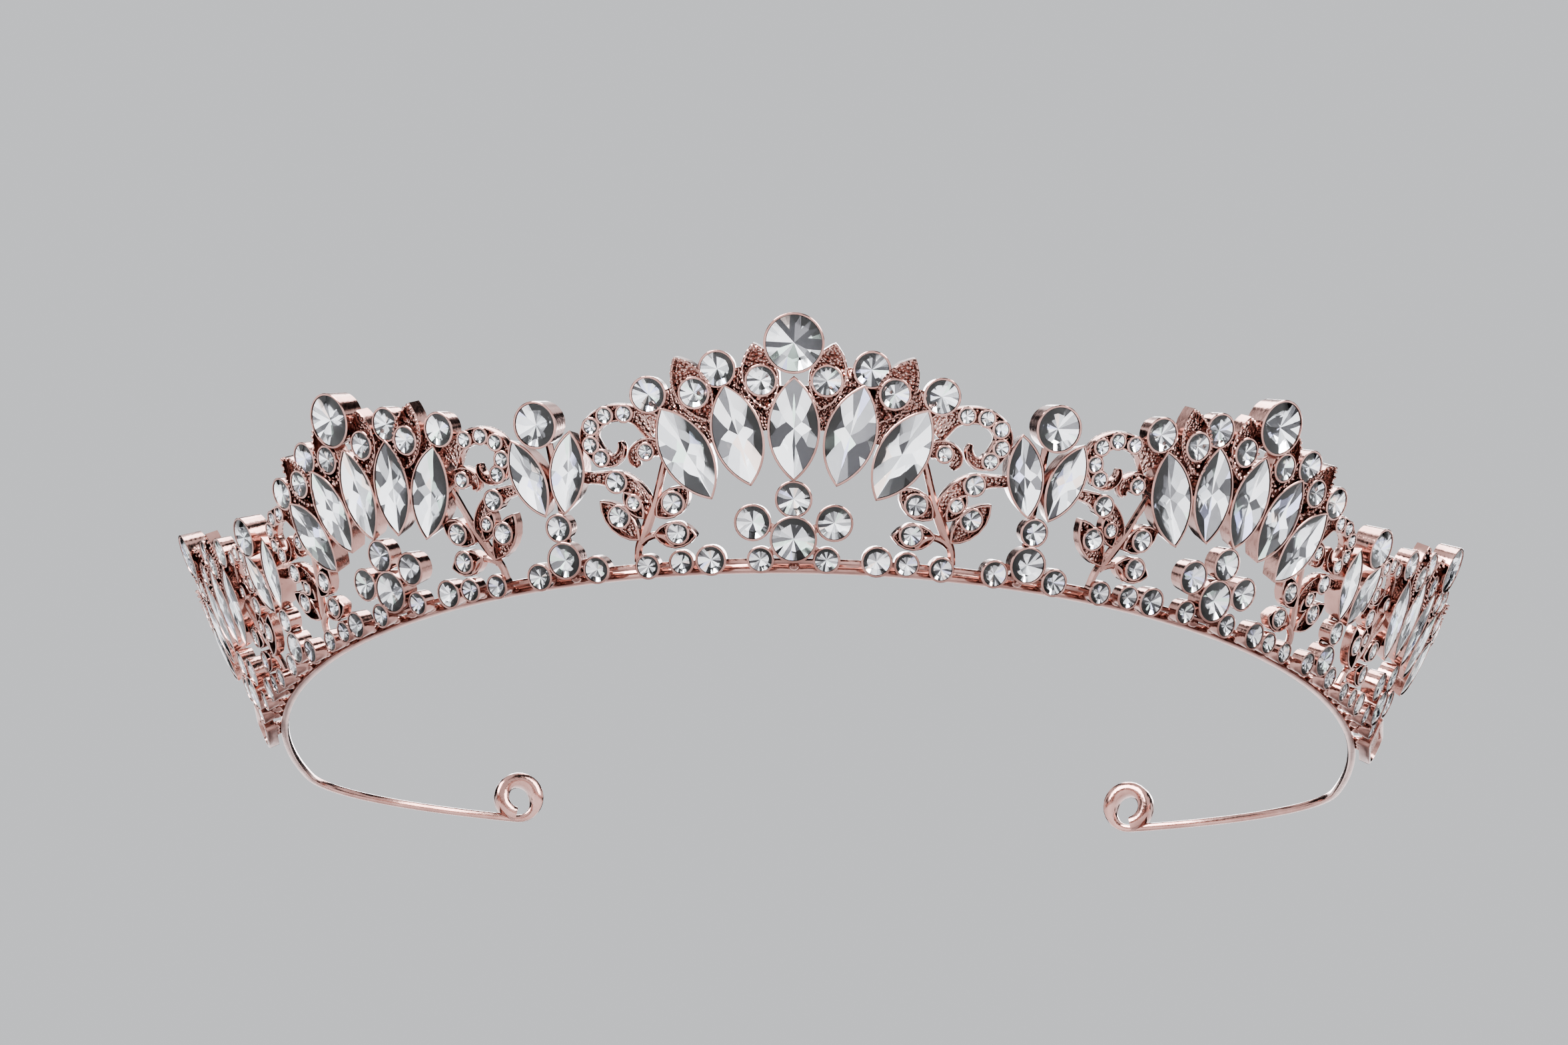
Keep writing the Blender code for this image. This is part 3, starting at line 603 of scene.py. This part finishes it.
def hull_of(stone, girdle):
    """Closes a stone round its points and foils every facet behind its girdle."""
    hull = bmesh.ops.convex_hull(stone, input=stone.verts)
    inner = parts_of({"geom": hull["geom_interior"] + hull["geom_unused"]}, BMVert)
    if inner:
        bmesh.ops.delete(stone, geom=list(set(inner)), context="VERTS")
    wires = [edge for edge in stone.edges if not edge.link_faces]
    bmesh.ops.delete(stone, geom=wires, context="EDGES")
    bmesh.ops.dissolve_limit(stone, angle_limit=FLAT_JOIN, verts=stone.verts, edges=stone.edges)
    for face in stone.faces:
        if face.calc_center_median().z < girdle:
            face.material_index = FOIL
    return stone


def cut_round(radius):
    """A round crystal of this radius, its girdle at z = 0."""
    stone = bmesh.new()
    for sides, reach, rise, turn in ROUND_RINGS:
        angle = math.tau * (turn + 0.5) / sides if sides == FACETS else 0.0
        place = Matrix.Translation((0, 0, rise * radius)) @ Matrix.Rotation(angle, 4, "Z")
        bmesh.ops.create_circle(stone, segments=sides, radius=reach * radius, matrix=place)
    stone.verts.new((0, 0, -CULET_DEPTH * radius))
    return hull_of(stone, GIRDLE * radius)


def make_stones(name, whole, nodes=(), seed=0):
    """A piece of crystals, each back facet with its own random value that picks its painted tone.
    """
    stones = make_piece(name, whole, CRYSTAL_FINISHES, nodes, crease=FACET_CREASE)
    draw = random.Random(seed)
    values = [draw.random() for _ in stones.data.polygons]
    painted_facet_light = stones.data.attributes.new("painted_facet_light", "FLOAT", "FACE")
    painted_facet_light.data.foreach_set("value", values)


# ------------------------------------------------------------------ round cups
# Each round crystal sits in a cast cup with a thin polished rim turned over its
# girdle. The smaller the crystal, the shallower its cup. A drop of glue holds it.
SEAT_FRONT = 2.4 * MM  # front of the navette seats, out from the ring
CREST_FRONT = 3.0 * MM
FLOWER_CUP = 4.85 * MM
CUP_TAPER = 0.15  # lost from a cup's front and back for each millimetre it is smaller
RIM = 0.2 * MM
GIRDLE_DROP = 0.12 * MM  # girdle of a crystal, below its rim
FOOT_SHARE = 0.88  # size of a setting's back, as a share of its front
POCKET_STEP = 0.2 * MM  # from the rim to the ledge of the pocket
POCKET_SHARE = 0.86  # size of the pocket's floor, as a share of its ledge
POCKET_FLOOR = 0.4 * MM  # the least metal left under a pocket


def raise_setting(shape, depth, hollow):
    """Turns one flat face into a setting: a wall, a bright rim and a pocket for the stone."""
    bmesh.ops.scale(shape, vec=(FOOT_SHARE, FOOT_SHARE, 1.0), verts=shape.verts)
    top = parts_of(bmesh.ops.extrude_face_region(shape, geom=shape.faces[:]), BMFace)
    bmesh.ops.translate(shape, vec=(0, 0, depth - 0.3 * RIM), verts=top[0].verts[:])
    bmesh.ops.scale(shape, vec=(1 / FOOT_SHARE, 1 / FOOT_SHARE, 1.0), verts=top[0].verts[:])
    bmesh.ops.inset_region(
        shape, faces=top, thickness=0.35 * RIM, depth=0.3 * RIM, use_even_offset=True
    )
    bmesh.ops.inset_region(shape, faces=top, thickness=0.75 * RIM, use_even_offset=True)
    bmesh.ops.inset_region(shape, faces=top, thickness=0.15 * RIM, depth=-POCKET_STEP)
    raised = bmesh.ops.extrude_face_region(shape, geom=top)
    bmesh.ops.delete(shape, geom=[face for face in top if face.is_valid], context="FACES_ONLY")
    floor_verts = parts_of(raised, BMFace)[0].verts[:]
    bmesh.ops.translate(shape, vec=(0, 0, -hollow), verts=floor_verts)
    bmesh.ops.scale(shape, vec=(POCKET_SHARE, POCKET_SHARE, 1.0), verts=floor_verts)
    return shape


def cup_shape(diameter, depth, sides):
    """An empty cup, its back at z = 0."""
    shape = bmesh.new()
    bmesh.ops.create_circle(shape, cap_ends=True, segments=sides, radius=diameter / 2)
    return raise_setting(shape, depth, min(CULET_DEPTH * diameter / 2, depth - POCKET_FLOOR))


class Setting:
    """Where a casting stands, with the metal and the small crystals made for it so far."""

    def __init__(self, along, hand=1):
        self.along, self.hand = along, hand
        self.metal, self.stones = bmesh.new(), bmesh.new()

    def matrix(self, place, out=0.0, turn=0.0):
        """Puts a shape at a place across and up the crown."""
        return crown_matrix(self.along, self.hand, place[0], place[1], out, turn)

    def cup(self, place, diameter, back=None, front=None, sides=24, turn=0.0, stone=True):
        """A cup and its crystal at a place across and up the crown."""
        inset = CUP_TAPER * (FLOWER_CUP - diameter)
        back = CASTING_BACK + inset if back is None else back
        front = SEAT_FRONT - inset if front is None else front
        add_shape(self.metal, cup_shape(diameter, front - back, sides), self.matrix(place, back))
        if stone:
            lifted = self.matrix(place, front - GIRDLE_DROP, turn)
            add_shape(self.stones, cut_round(diameter / 2 - RIM), lifted)

    def finish(self, node, seed):
        """Makes the metal one piece and the small crystals another."""
        label = node + "_casting"
        finish_casting(label, self.metal, [node], self.matrix((0.0, 0.0)).col[2].to_3d())
        make_stones(label + "_rounds", self.stones, seed=seed)


# ------------------------------------------------------------------ rails and wires
# Thin cast wires run between the cups. The rail is the lowest of them and lies in front
# of the band, and each casting has its own length of it.
RAIL_WIRE = 0.6 * MM
RAIL_RISE = 0.6 * MM
RAIL_STEPS = 6
WIRE_OUT = CASTING_BACK + 0.35 * MM  # middle of the rails and of the wires behind cups
WIRE_DEPTH = 0.4 * MM
wire_section = rounded_section(8, 1.0)


def smooth_path(points, steps=4):
    """A path of the flat layout made smooth through its points."""
    points = [Vector(point) for point in points]
    ends = [points[0] * 2 - points[1], *points, points[-1] * 2 - points[-2]]
    path = []
    for a, b, c, d in zip(ends, ends[1:], ends[2:], ends[3:]):
        for i in range(steps):
            t = i / steps
            path.append(
                0.5 * (2 * b + (c - a) * t + (2 * a - 5 * b + 4 * c - d) * t * t
                       + (3 * b - a - 3 * c + d) * t * t * t)
            )
    return [*path, points[-1]]


def add_wire(setting, path, width, depth, out, finish=0, section=wire_section, tail=1.0):
    """A wire along a path. A point may carry a share of the width, and the tail is drawn thin."""
    places = []
    for point in path:
        spot = setting.matrix((point[0], point[1]), out)
        places.append((spot.translation, spot.col[2].to_3d(), point[2] if len(point) > 2 else 1.0))
    stations = []
    last = len(places) - 1
    for i, (place, front, share) in enumerate(places):
        along = (places[min(i + 1, last)][0] - places[max(i - 1, 0)][0]).normalized()
        side = along.cross(front).normalized()
        front = side.cross(along).normalized()
        slim = tail if i == last else 1.0
        sizes = (width * share * slim, depth * min(1.0, share + 0.3) * slim, 1.0)
        stations.append(frame_matrix(place, side, front, along * -1, sizes))
    add_shape(setting.metal, draw_through(section, stations), finish=finish)


def add_rail(setting, start, end):
    """A casting's length of the rail."""
    path = [(start + (end - start) * i / RAIL_STEPS, RAIL_RISE) for i in range(RAIL_STEPS + 1)]
    add_wire(setting, path, RAIL_WIRE, RAIL_WIRE, WIRE_OUT)


# ------------------------------------------------------------------ navettes
# Boat-shaped crystals with a long table. Their facets meet at a point behind the
# middle. Each is glued into its own seat, whose thin rim follows its outline.
NAVETTE_POCKET = 1.5 * MM
# Its rings, as for the round stones, with the rise in half widths
NAVETTE_RINGS = (
    (8, 0.50, 0.11, 0.0), (12, 0.80, 0.04, 0.5), (32, 1.0, 0.0, 0.0),
    (32, 1.0, -0.05, 0.0), (12, 0.70, -0.125, 0.0), (8, 0.36, -0.2, 0.5),
)
NAVETTE_CULET = 0.255


def to_lens(verts, length, width):
    """Moves the vertices of a unit circle onto two arcs that meet at the top and bottom."""
    half, sagitta = length / 2, width / 2
    radius = (half * half + sagitta * sagitta) / (2 * sagitta)
    for vertex in verts:
        y = half * max(-1.0, min(1.0, vertex.co.y))
        x = math.sqrt(max(0.0, radius * radius - y * y)) - radius + sagitta
        vertex.co.x = math.copysign(x if abs(vertex.co.x) > 1e-6 else 0.0, vertex.co.x)
        vertex.co.y = y


def lens_face(length, width, sides=40):
    """A flat pointed oval."""
    shape = bmesh.new()
    bmesh.ops.create_circle(shape, cap_ends=True, segments=sides, radius=1.0)
    to_lens(shape.verts, length, width)
    return shape


def cut_navette(length, width):
    """A boat-shaped crystal, its girdle at z = 0."""
    stone = bmesh.new()
    half = width / 2
    for sides, share, rise, turn in NAVETTE_RINGS:
        place = Matrix.Rotation(math.tau * turn / sides, 4, "Z")
        ring = bmesh.ops.create_circle(stone, segments=sides, radius=1.0, matrix=place)["verts"]
        to_lens(ring, length * share, width * share)
        bmesh.ops.translate(stone, vec=(0, 0, rise * half), verts=ring)
    stone.verts.new((0, 0, -NAVETTE_CULET * half))
    return hull_of(stone, GIRDLE * half)


def add_navette(setting, label, node, place, turn, size, seed):
    """A navette in its seat. The crystal is a piece of its own, and stands for its node."""
    length, width = size
    seat = raise_setting(lens_face(length, width), SEAT_FRONT - CASTING_BACK, NAVETTE_POCKET)
    add_shape(setting.metal, seat, setting.matrix(place, CASTING_BACK, turn))
    whole = bmesh.new()
    # The rims meet at the seat's points, so a stone loses more of its length than its width
    stone = cut_navette(length - 2.8 * RIM, width - 1.9 * RIM)
    add_shape(whole, stone, setting.matrix(place, SEAT_FRONT - GIRDLE_DROP, turn))
    make_stones(label, whole, [node], seed)


# ------------------------------------------------------------------ leaves
# Small cast leaves with a raised rim round a grainy floor. On the large ones the rim
# is a line of beads.
LEAF_RIM = 0.3 * MM
LEAF_BEVEL = 0.1 * MM  # rise of the rim's outer slope
BEAD = 0.21 * MM
BEAD_PITCH = 0.43 * MM
BEAD_RISE = 0.1 * MM  # its middle, above the rim

# One bead, shared by every beaded rim
ball = bmesh.new()
bmesh.ops.create_icosphere(ball, subdivisions=1, radius=1.0)
bead_shape = bpy.data.meshes.new("bead")
ball.to_mesh(bead_shape)
ball.free()


def add_leaf(setting, middle, turn, length, width, back, front, floor, beaded=False, rim=LEAF_RIM):
    """A pointed leaf at a place of the crown, with a sunk grainy floor."""
    leaf = lens_face(length, width, 16)
    top = parts_of(bmesh.ops.extrude_face_region(leaf, geom=leaf.faces[:]), BMFace)
    bmesh.ops.translate(leaf, vec=(0, 0, front - back - LEAF_BEVEL), verts=top[0].verts[:])
    for share, rise in ((0.3, LEAF_BEVEL), (0.5, 0.0), (0.4, floor - front)):
        bmesh.ops.inset_region(
            leaf, faces=top, thickness=share * rim, depth=rise, use_even_offset=True
        )
    top[0].material_index = GRAIN
    place = setting.matrix(middle, back, turn)
    add_shape(setting.metal, leaf, place)
    if not beaded:
        return
    outline = lens_face(length - 1.6 * rim, width - 1.2 * rim, 48)
    outline.verts.ensure_lookup_table()
    points = [vertex.co.copy() for vertex in outline.verts]
    outline.free()
    walked = BEAD_PITCH
    for before, after in zip(points, points[1:] + points[:1]):
        walked += (after - before).length
        if walked >= BEAD_PITCH:
            walked = 0.0
            lifted = place @ Matrix.Translation((after.x, after.y, front - back + BEAD_RISE))
            add_shape(setting.metal, bead_shape, lifted @ Matrix.Scale(BEAD, 4))


# ------------------------------------------------------------------ fans
# Five navettes stand like the spokes of a wheel over a flower of round cups. Four
# leaves and four cups ring them, and the largest round crystal crowns them. Each fan
# is one casting.
FAN_NAMES = ("left_end", "left", "centre", "right", "right_end")
PITCH = 23.45 * MM  # from a fan to the twin beside it
FAN_NAVETTE = (10.7 * MM, 5.35 * MM)
CREST_SEAT = 6.15 * MM
RING_CUP = 3.9 * MM
PETAL_CUP = 3.84 * MM
FOOT_CUP = 2.83 * MM
LEAF_CUP = 3.35 * MM
FAN_RADIUS = 22.3 * MM
FAN_STEP = math.radians(12.9)
NAVETTE_HEIGHT = 14.3 * MM
SHOULDER_RADIUS = 29.2 * MM
CREST_GAP = 0.25 * MM
FLOWER_HEIGHT = 3.06 * MM
CUP_OVERLAP = 0.25 * MM
PETAL_OVERLAP = 0.1 * MM
PETAL_ANGLE = math.radians(24.0)
FLOWER_WIRE = 1.0 * MM
FOOT = (3.24 * MM, 0.95 * MM)
FAN_RAIL_HALF = 5.7 * MM
# Each pair of leaves: their spoke, radius, tilt in degrees, length and width
FAN_LEAVES = (
    (0.454, 27.35 * MM, 11.5, 7.0 * MM, 3.9 * MM),
    (1.41, 27.55 * MM, 26.0, 7.6 * MM, 3.9 * MM),
)
FAN_LEAF_LIFT = 0.35 * MM  # its middle, above its crystal
FAN_LEAF_BACK = CASTING_BACK + 0.3 * MM
FAN_LEAF_FRONT = SEAT_FRONT - 0.15 * MM
FAN_LEAF_FLOOR = 1.15 * MM
LEAF_CUP_FRONT = SEAT_FRONT + 0.1 * MM
# The web behind the navettes. Near the middle spoke it stops lower, under the crest.
WEB_BACK, WEB_FRONT = CASTING_BACK + 0.5 * MM, CASTING_BACK + 0.85 * MM
WEB_SPAN, CREST_SPAN = 4.2, 0.3
WEB_INNER, WEB_OUTER, WEB_UNDER_CREST = 22.2 * MM, 28.9 * MM, 26.6 * MM
# The loose grains cast on it, a little inside its edges
WEB_GRAINS = 420
GRAINS_HALF_SPAN = 2.05
GRAINS_INNER, GRAINS_OUTER, GRAINS_UNDER_CREST = 22.6, 28.6, 26.4 * MM
GRAIN_RADII = (0.2, 0.34)
GRAIN_HEIGHT = 0.9


def on_wheel(spoke, radius):
    """Place on a fan's wheel, whose hub is below the band."""
    angle = spoke * FAN_STEP
    return radius * math.sin(angle), NAVETTE_HEIGHT - FAN_RADIUS + radius * math.cos(angle)


def in_navette(spoke, radius):
    """Whether a place on the wheel lies within one of the seats."""
    angle = (spoke - round(spoke)) * FAN_STEP
    across, along = radius * math.sin(angle), radius * math.cos(angle) - FAN_RADIUS
    share = min(1.0, abs(along) / (FAN_NAVETTE[0] / 2))
    return abs(across) < (1 - share * share) * FAN_NAVETTE[1] / 2


def add_fan_plate(setting, seed):
    """The grainy web behind the upper halves of the navettes, open below the crest."""
    plate = bmesh.new()
    bmesh.ops.create_grid(plate, x_segments=32, y_segments=4, size=0.5)
    raised = bmesh.ops.extrude_face_region(plate, geom=plate.faces[:])
    bmesh.ops.translate(plate, vec=(0, 0, 1), verts=parts_of(raised, BMVert))
    for vertex in plate.verts:
        spoke = WEB_SPAN * vertex.co.x
        outer = WEB_UNDER_CREST if abs(spoke) < CREST_SPAN else WEB_OUTER
        radius = WEB_INNER + (outer - WEB_INNER) * (vertex.co.y + 0.5)
        out = WEB_FRONT if vertex.co.z > 0.5 else WEB_BACK
        vertex.co = setting.matrix(on_wheel(spoke, radius), out).translation
    add_shape(setting.metal, plate, finish=GRAIN)
    draw = random.Random(seed)
    for _ in range(WEB_GRAINS):
        spoke = draw.uniform(-GRAINS_HALF_SPAN, GRAINS_HALF_SPAN)
        radius = draw.uniform(GRAINS_INNER, GRAINS_OUTER) * MM
        under_crest = abs(spoke) < CREST_SPAN and radius > GRAINS_UNDER_CREST
        if under_crest or in_navette(spoke, radius):
            continue
        lift = draw.uniform(0.0, GRAIN_HEIGHT) * MM
        size = Matrix.Scale(draw.uniform(*GRAIN_RADII) * MM, 4)
        place = setting.matrix(on_wheel(spoke, radius), WEB_FRONT + lift)
        add_shape(setting.metal, bead_shape, place @ size)


def add_flower(setting):
    """A centre cup with a stalk cup above it, two petals and two feet."""
    centre = (0.0, FLOWER_HEIGHT)
    stalk = (0.0, FLOWER_HEIGHT + (FLOWER_CUP + PETAL_CUP) / 2 - CUP_OVERLAP)
    setting.cup(centre, FLOWER_CUP, sides=32, turn=0.2)
    setting.cup(stalk, PETAL_CUP, sides=28)
    for hand in (-1, 1):
        reach = (FLOWER_CUP + PETAL_CUP) / 2 - PETAL_OVERLAP
        rise = reach * math.sin(PETAL_ANGLE)
        petal = (hand * reach * math.cos(PETAL_ANGLE), FLOWER_HEIGHT + rise)
        setting.cup(petal, PETAL_CUP, sides=28, turn=0.3 * hand)
        foot = (hand * FOOT[0], FOOT[1])
        setting.cup(foot, FOOT_CUP, turn=0.5 * hand)
        add_solder(setting.metal, setting.along, hand, foot[0] * hand)
        for end in (petal, foot):
            add_wire(setting, [centre, end], FLOWER_WIRE, WIRE_DEPTH, WIRE_OUT)


def build_fan(name, along, seed):
    """A whole fan at a distance from the brow."""
    setting = Setting(along)
    label = "fan_" + name
    add_fan_plate(setting, seed)
    for number in range(5):
        spoke = number - 2
        node = f"navette_{label}_{number + 1}"
        place = on_wheel(spoke, FAN_RADIUS)
        add_navette(
            setting, f"crystal_{label}_{number + 1}", node, place, spoke * FAN_STEP, FAN_NAVETTE,
            seed * 10 + number,
        )
    for spoke in (-2, -1, 1, 2):
        setting.cup(on_wheel(spoke, SHOULDER_RADIUS), RING_CUP, sides=28, turn=0.37 * spoke)
    for hand in (-1, 1):
        for spoke, radius, tilt, length, width in FAN_LEAVES:
            stone = Vector(on_wheel(hand * spoke, radius))
            turn = hand * math.radians(tilt)
            middle = stone + Vector((math.sin(turn), math.cos(turn))) * FAN_LEAF_LIFT
            add_leaf(
                setting, middle, turn, length, width, FAN_LEAF_BACK, FAN_LEAF_FRONT, FAN_LEAF_FLOOR,
                beaded=True,
            )
            setting.cup(stone, LEAF_CUP, front=LEAF_CUP_FRONT, turn=hand * spoke)
    crest = on_wheel(0, FAN_RADIUS + FAN_NAVETTE[0] / 2 + CREST_SEAT / 2 + CREST_GAP)
    setting.cup(crest, CREST_SEAT, CASTING_BACK, CREST_FRONT, sides=40, stone=False)
    add_flower(setting)
    add_solder(setting.metal, setting.along)
    add_rail(setting, -FAN_RAIL_HALF, FAN_RAIL_HALF)
    setting.finish(label, seed)
    whole = bmesh.new()
    lifted = setting.matrix(crest, CREST_FRONT - GIRDLE_DROP, 0.15 * seed)
    add_shape(whole, cut_round(CREST_SEAT / 2 - RIM), lifted)
    make_stones("crystal_crest_" + name, whole, ["crest_stone_" + name], 90 + seed)


for number, name in enumerate(FAN_NAMES):
    build_fan(name, 2 * PITCH * (number - 2), number + 1)

# ------------------------------------------------------------------ twins
# Between the fans stand two smaller navettes in a V, with a round crystal between
# their tips and a stem of round cups that widens to two feet on the band. Each twin
# is one casting.
TWIN_NAVETTE = (8.9 * MM, 4.1 * MM)
TWIN_TOP_CUP = 5.0 * MM
TWIN_STALK_CUP = 3.1 * MM
TWIN_CENTRE_CUP = 4.0 * MM
TWIN_FOOT_CUP = 3.0 * MM
TWIN_TILT = math.radians(15.0)
TWIN_SPREAD = 2.06 * MM
TWIN_TOP_SINK = 1.55 * MM  # how far the top cup reaches down between the navettes
TWIN_RAIL_HALF = 6.1 * MM
TWIN_STALK = (0.0, 5.67 * MM)
TWIN_CENTRE = (0.0, 2.24 * MM)
TWIN_FOOT = (3.27 * MM, 0.88 * MM)
TWIN_WIRE = 0.9 * MM


def build_twin(name, along, seed):
    """A whole twin at a distance from the brow."""
    setting = Setting(along)
    label = "twin_" + name
    half = TWIN_NAVETTE[0] / 2
    height = TWIN_STALK[1] + TWIN_STALK_CUP / 2 - CUP_OVERLAP + half * math.cos(TWIN_TILT)
    top = (0.0, height + (TWIN_NAVETTE[0] + TWIN_TOP_CUP) / 2 - TWIN_TOP_SINK)
    for number, hand in enumerate((-1, 1), 1):
        add_navette(
            setting, f"crystal_{label}_{number}", f"navette_{label}_{number}",
            (hand * TWIN_SPREAD, height), hand * TWIN_TILT, TWIN_NAVETTE, seed * 10 + number,
        )
        foot = (hand * TWIN_FOOT[0], TWIN_FOOT[1])
        setting.cup(foot, TWIN_FOOT_CUP, turn=0.4 * hand)
        add_solder(setting.metal, setting.along, hand, foot[0] * hand)
        add_wire(setting, [TWIN_CENTRE, foot], TWIN_WIRE, WIRE_DEPTH, WIRE_OUT)
    path = [TWIN_CENTRE, TWIN_STALK, (0.0, height), (0.0, top[1] - 1.0 * MM)]
    add_wire(setting, path, TWIN_WIRE, WIRE_DEPTH, WIRE_OUT)
    setting.cup(top, TWIN_TOP_CUP, CASTING_BACK, CREST_FRONT, sides=36, turn=0.2 * seed)
    setting.cup(TWIN_STALK, TWIN_STALK_CUP, turn=0.3)
    setting.cup(TWIN_CENTRE, TWIN_CENTRE_CUP, sides=28, turn=0.1)
    add_solder(setting.metal, setting.along)
    add_rail(setting, -TWIN_RAIL_HALF, TWIN_RAIL_HALF)
    setting.finish(label, seed)


for number, name in enumerate(("left_outer", "left_inner", "right_inner", "right_outer")):
    build_twin(name, PITCH * (2 * number - 3), 11 + number)

# ------------------------------------------------------------------ scrolls
# A spray of five leaves grows from three cups on the band between each fan and twin.
# Above it a C scroll set with five crystals rolls out from the fan and ends in a curl,
# with a small scroll inside it. Each spray and its scrolls are one casting.
SCROLL_FRONT = 1.9 * MM
SCROLL_WIDTH = 1.85 * MM
SCROLL_BODY = 0.8 * MM
SCROLL_LIP = 0.55 * MM  # how far its edge wires stand above its floor
SCROLL_EDGE = 0.32 * MM
EDGE_SHARE = 0.86  # place of the edge wires, in half widths
scroll_section = rounded_section(8, 0.5)
PAVE_BACK, PAVE_FRONT = SCROLL_FRONT - 1.2 * MM, SCROLL_FRONT + 0.15 * MM
PAVE_CUP = 2.0 * MM
STEM_WIRE = 0.8 * MM
STEM_OUT = CASTING_BACK + 1.1 * MM
SPRAY_BACK = CASTING_BACK + 0.5 * MM
SPRAY_FLOOR = 1.0 * MM
SPRAY_RIM = 0.26 * MM
# The layout that follows is in millimetres across and up the crown. A third number is
# a cup's diameter or a share of the full width.
BASE_CUPS = ((8.16, 1.02, 3.25), (11.16, 0.9, 2.7), (14.69, 0.7, 2.7))
SCROLL_STONES = ((15.16, 16.6), (17.0, 16.6), (18.45, 15.65), (18.75, 13.75), (17.9, 12.3))
SCROLL_MIDDLE = (
    (12.4, 14.6, 1.5), (13.3, 15.7, 1.35), (14.2, 16.3, 1.05), (15.2, 16.65, 1.0),
    (16.4, 16.75, 1.0), (17.5, 16.45, 1.0), (18.45, 15.7, 1.0), (18.9, 14.7, 1.0),
    (18.7, 13.6, 1.0), (18.0, 12.35, 0.95), (17.0, 11.9, 0.7), (16.2, 12.3, 0.5),
    (15.85, 13.1, 0.35), (15.95, 13.8, 0.15),
)
SMALL_SCROLL = (
    (12.2, 12.4, 0.7), (12.9, 12.9, 1.0), (13.8, 12.95, 1.0), (14.7, 12.4, 0.8), (14.9, 11.6, 0.5),
    (14.5, 11.05, 0.2),
)
SMALL_STONE = (13.6, 12.5, 2.0)
STEM = (
    (15.8, 1.2, 1.0), (15.5, 2.7, 1.1), (14.8, 4.0, 1.3), (14.1, 5.5, 1.5), (13.3, 7.2, 1.2),
    (12.75, 8.9, 1.0), (12.2, 10.6, 1.0), (11.7, 12.2, 0.8),
)
FOOT_ARCH = (
    (15.2, 3.1, 1.0), (14.5, 3.6, 1.0), (13.6, 3.85, 1.0), (12.7, 3.5, 1.0), (11.9, 2.6, 1.0),
)
LONG_LEAF = (
    (13.9, 6.2, 0.4), (14.3, 7.6, 0.8), (15.3, 8.9, 1.0), (16.7, 9.75, 1.15), (18.2, 10.2, 0.75),
    (20.1, 10.4, 0.55),
)
LONG_LEAF_STONE = (16.76, 9.7, 2.5)
# Each leaf: its root, its tip, its width, its crystal's place and its cup
SPRAY_LEAVES = (
    ((13.4, 5.7), (9.7, 8.5), 2.9, (11.47, 7.07), 2.6),
    ((13.9, 3.9), (9.3, 3.6), 2.8, (11.3, 3.98), 2.6),
    ((15.1, 3.4), (18.9, 7.9), 2.8, (16.97, 6.1), 2.6),
    ((14.5, 5.6), (16.3, 8.7), 1.9, (15.3, 7.4), 1.8),
)


def in_mm(points):
    """A path of the layout, with its places in metres and its shares as they are."""
    return [(across * MM, height * MM, share) for across, height, share in points]


def beside(path, share):
    """A path moved sideways by a share of the scroll's half width."""
    moved = []
    for i, point in enumerate(path):
        before, after = path[max(i - 1, 0)], path[min(i + 1, len(path) - 1)]
        along = Vector((after[0] - before[0], after[1] - before[1])).normalized()
        reach = share * SCROLL_WIDTH / 2 * point[2]
        moved.append((point[0] - along.y * reach, point[1] + along.x * reach, 1.0))
    return moved


def add_scroll_band(setting, points, front):
    """A grainy band along a scroll with a polished wire along both its edges."""
    path = smooth_path(in_mm(points))
    floor_out = front - SCROLL_LIP
    body = floor_out - 0.5 * SCROLL_BODY
    add_wire(setting, path, SCROLL_WIDTH, SCROLL_BODY, body, finish=GRAIN, section=scroll_section)
    for share in (-EDGE_SHARE, EDGE_SHARE):
        edge_path = beside(path, share)
        add_wire(setting, edge_path, SCROLL_EDGE, 2 * SCROLL_LIP, floor_out, tail=0.5)


def build_scroll(name, along, hand, seed):
    """A whole spray with its scrolls, mirrored for the other hand."""
    setting = Setting(along, hand)
    label = "scroll_" + name
    for across, height, diameter in BASE_CUPS:
        setting.cup((across * MM, height * MM), diameter * MM, turn=across)
        add_solder(setting.metal, setting.along, setting.hand, across * MM)
    add_rail(setting, FAN_RAIL_HALF, PITCH - TWIN_RAIL_HALF)
    for points in (STEM, FOOT_ARCH):
        add_wire(setting, smooth_path(in_mm(points)), STEM_WIRE, STEM_WIRE, STEM_OUT)
    add_scroll_band(setting, SCROLL_MIDDLE, SCROLL_FRONT)
    for number, (across, height) in enumerate(SCROLL_STONES):
        place = (across * MM, height * MM)
        setting.cup(place, PAVE_CUP, PAVE_BACK, PAVE_FRONT, sides=16, turn=number + seed)
    add_scroll_band(setting, SMALL_SCROLL, SCROLL_FRONT - 0.2 * MM)
    across, height, diameter = SMALL_STONE
    setting.cup((across * MM, height * MM), diameter * MM, PAVE_BACK, SCROLL_FRONT, sides=16)
    add_scroll_band(setting, LONG_LEAF, SCROLL_FRONT - 0.1 * MM)
    across, height, diameter = LONG_LEAF_STONE
    setting.cup((across * MM, height * MM), diameter * MM, PAVE_BACK, PAVE_FRONT)
    for root, tip, width, stone, cup in SPRAY_LEAVES:
        root, tip = Vector(root) * MM, Vector(tip) * MM
        reach = tip - root
        turn = math.atan2(reach.x, reach.y)
        middle = (root + tip) / 2
        add_leaf(
            setting, middle, turn, reach.length, width * MM, SPRAY_BACK, SCROLL_FRONT, SPRAY_FLOOR,
            rim=SPRAY_RIM,
        )
        place = (stone[0] * MM, stone[1] * MM)
        setting.cup(place, cup * MM, SPRAY_BACK, PAVE_FRONT, turn=stone[0])
    setting.finish(label, seed)


for side_name, hand in SIDES:
    for number in range(4):
        # The first and third scrolls grow away from the brow, the others towards it.
        outward = 1 if number % 2 == 0 else -1
        fan_along = hand * 2 * PITCH * ((number + 1) // 2)
        build_scroll(f"{side_name}_{number + 1}", fan_along, hand * outward, 30 + 4 * hand + number)
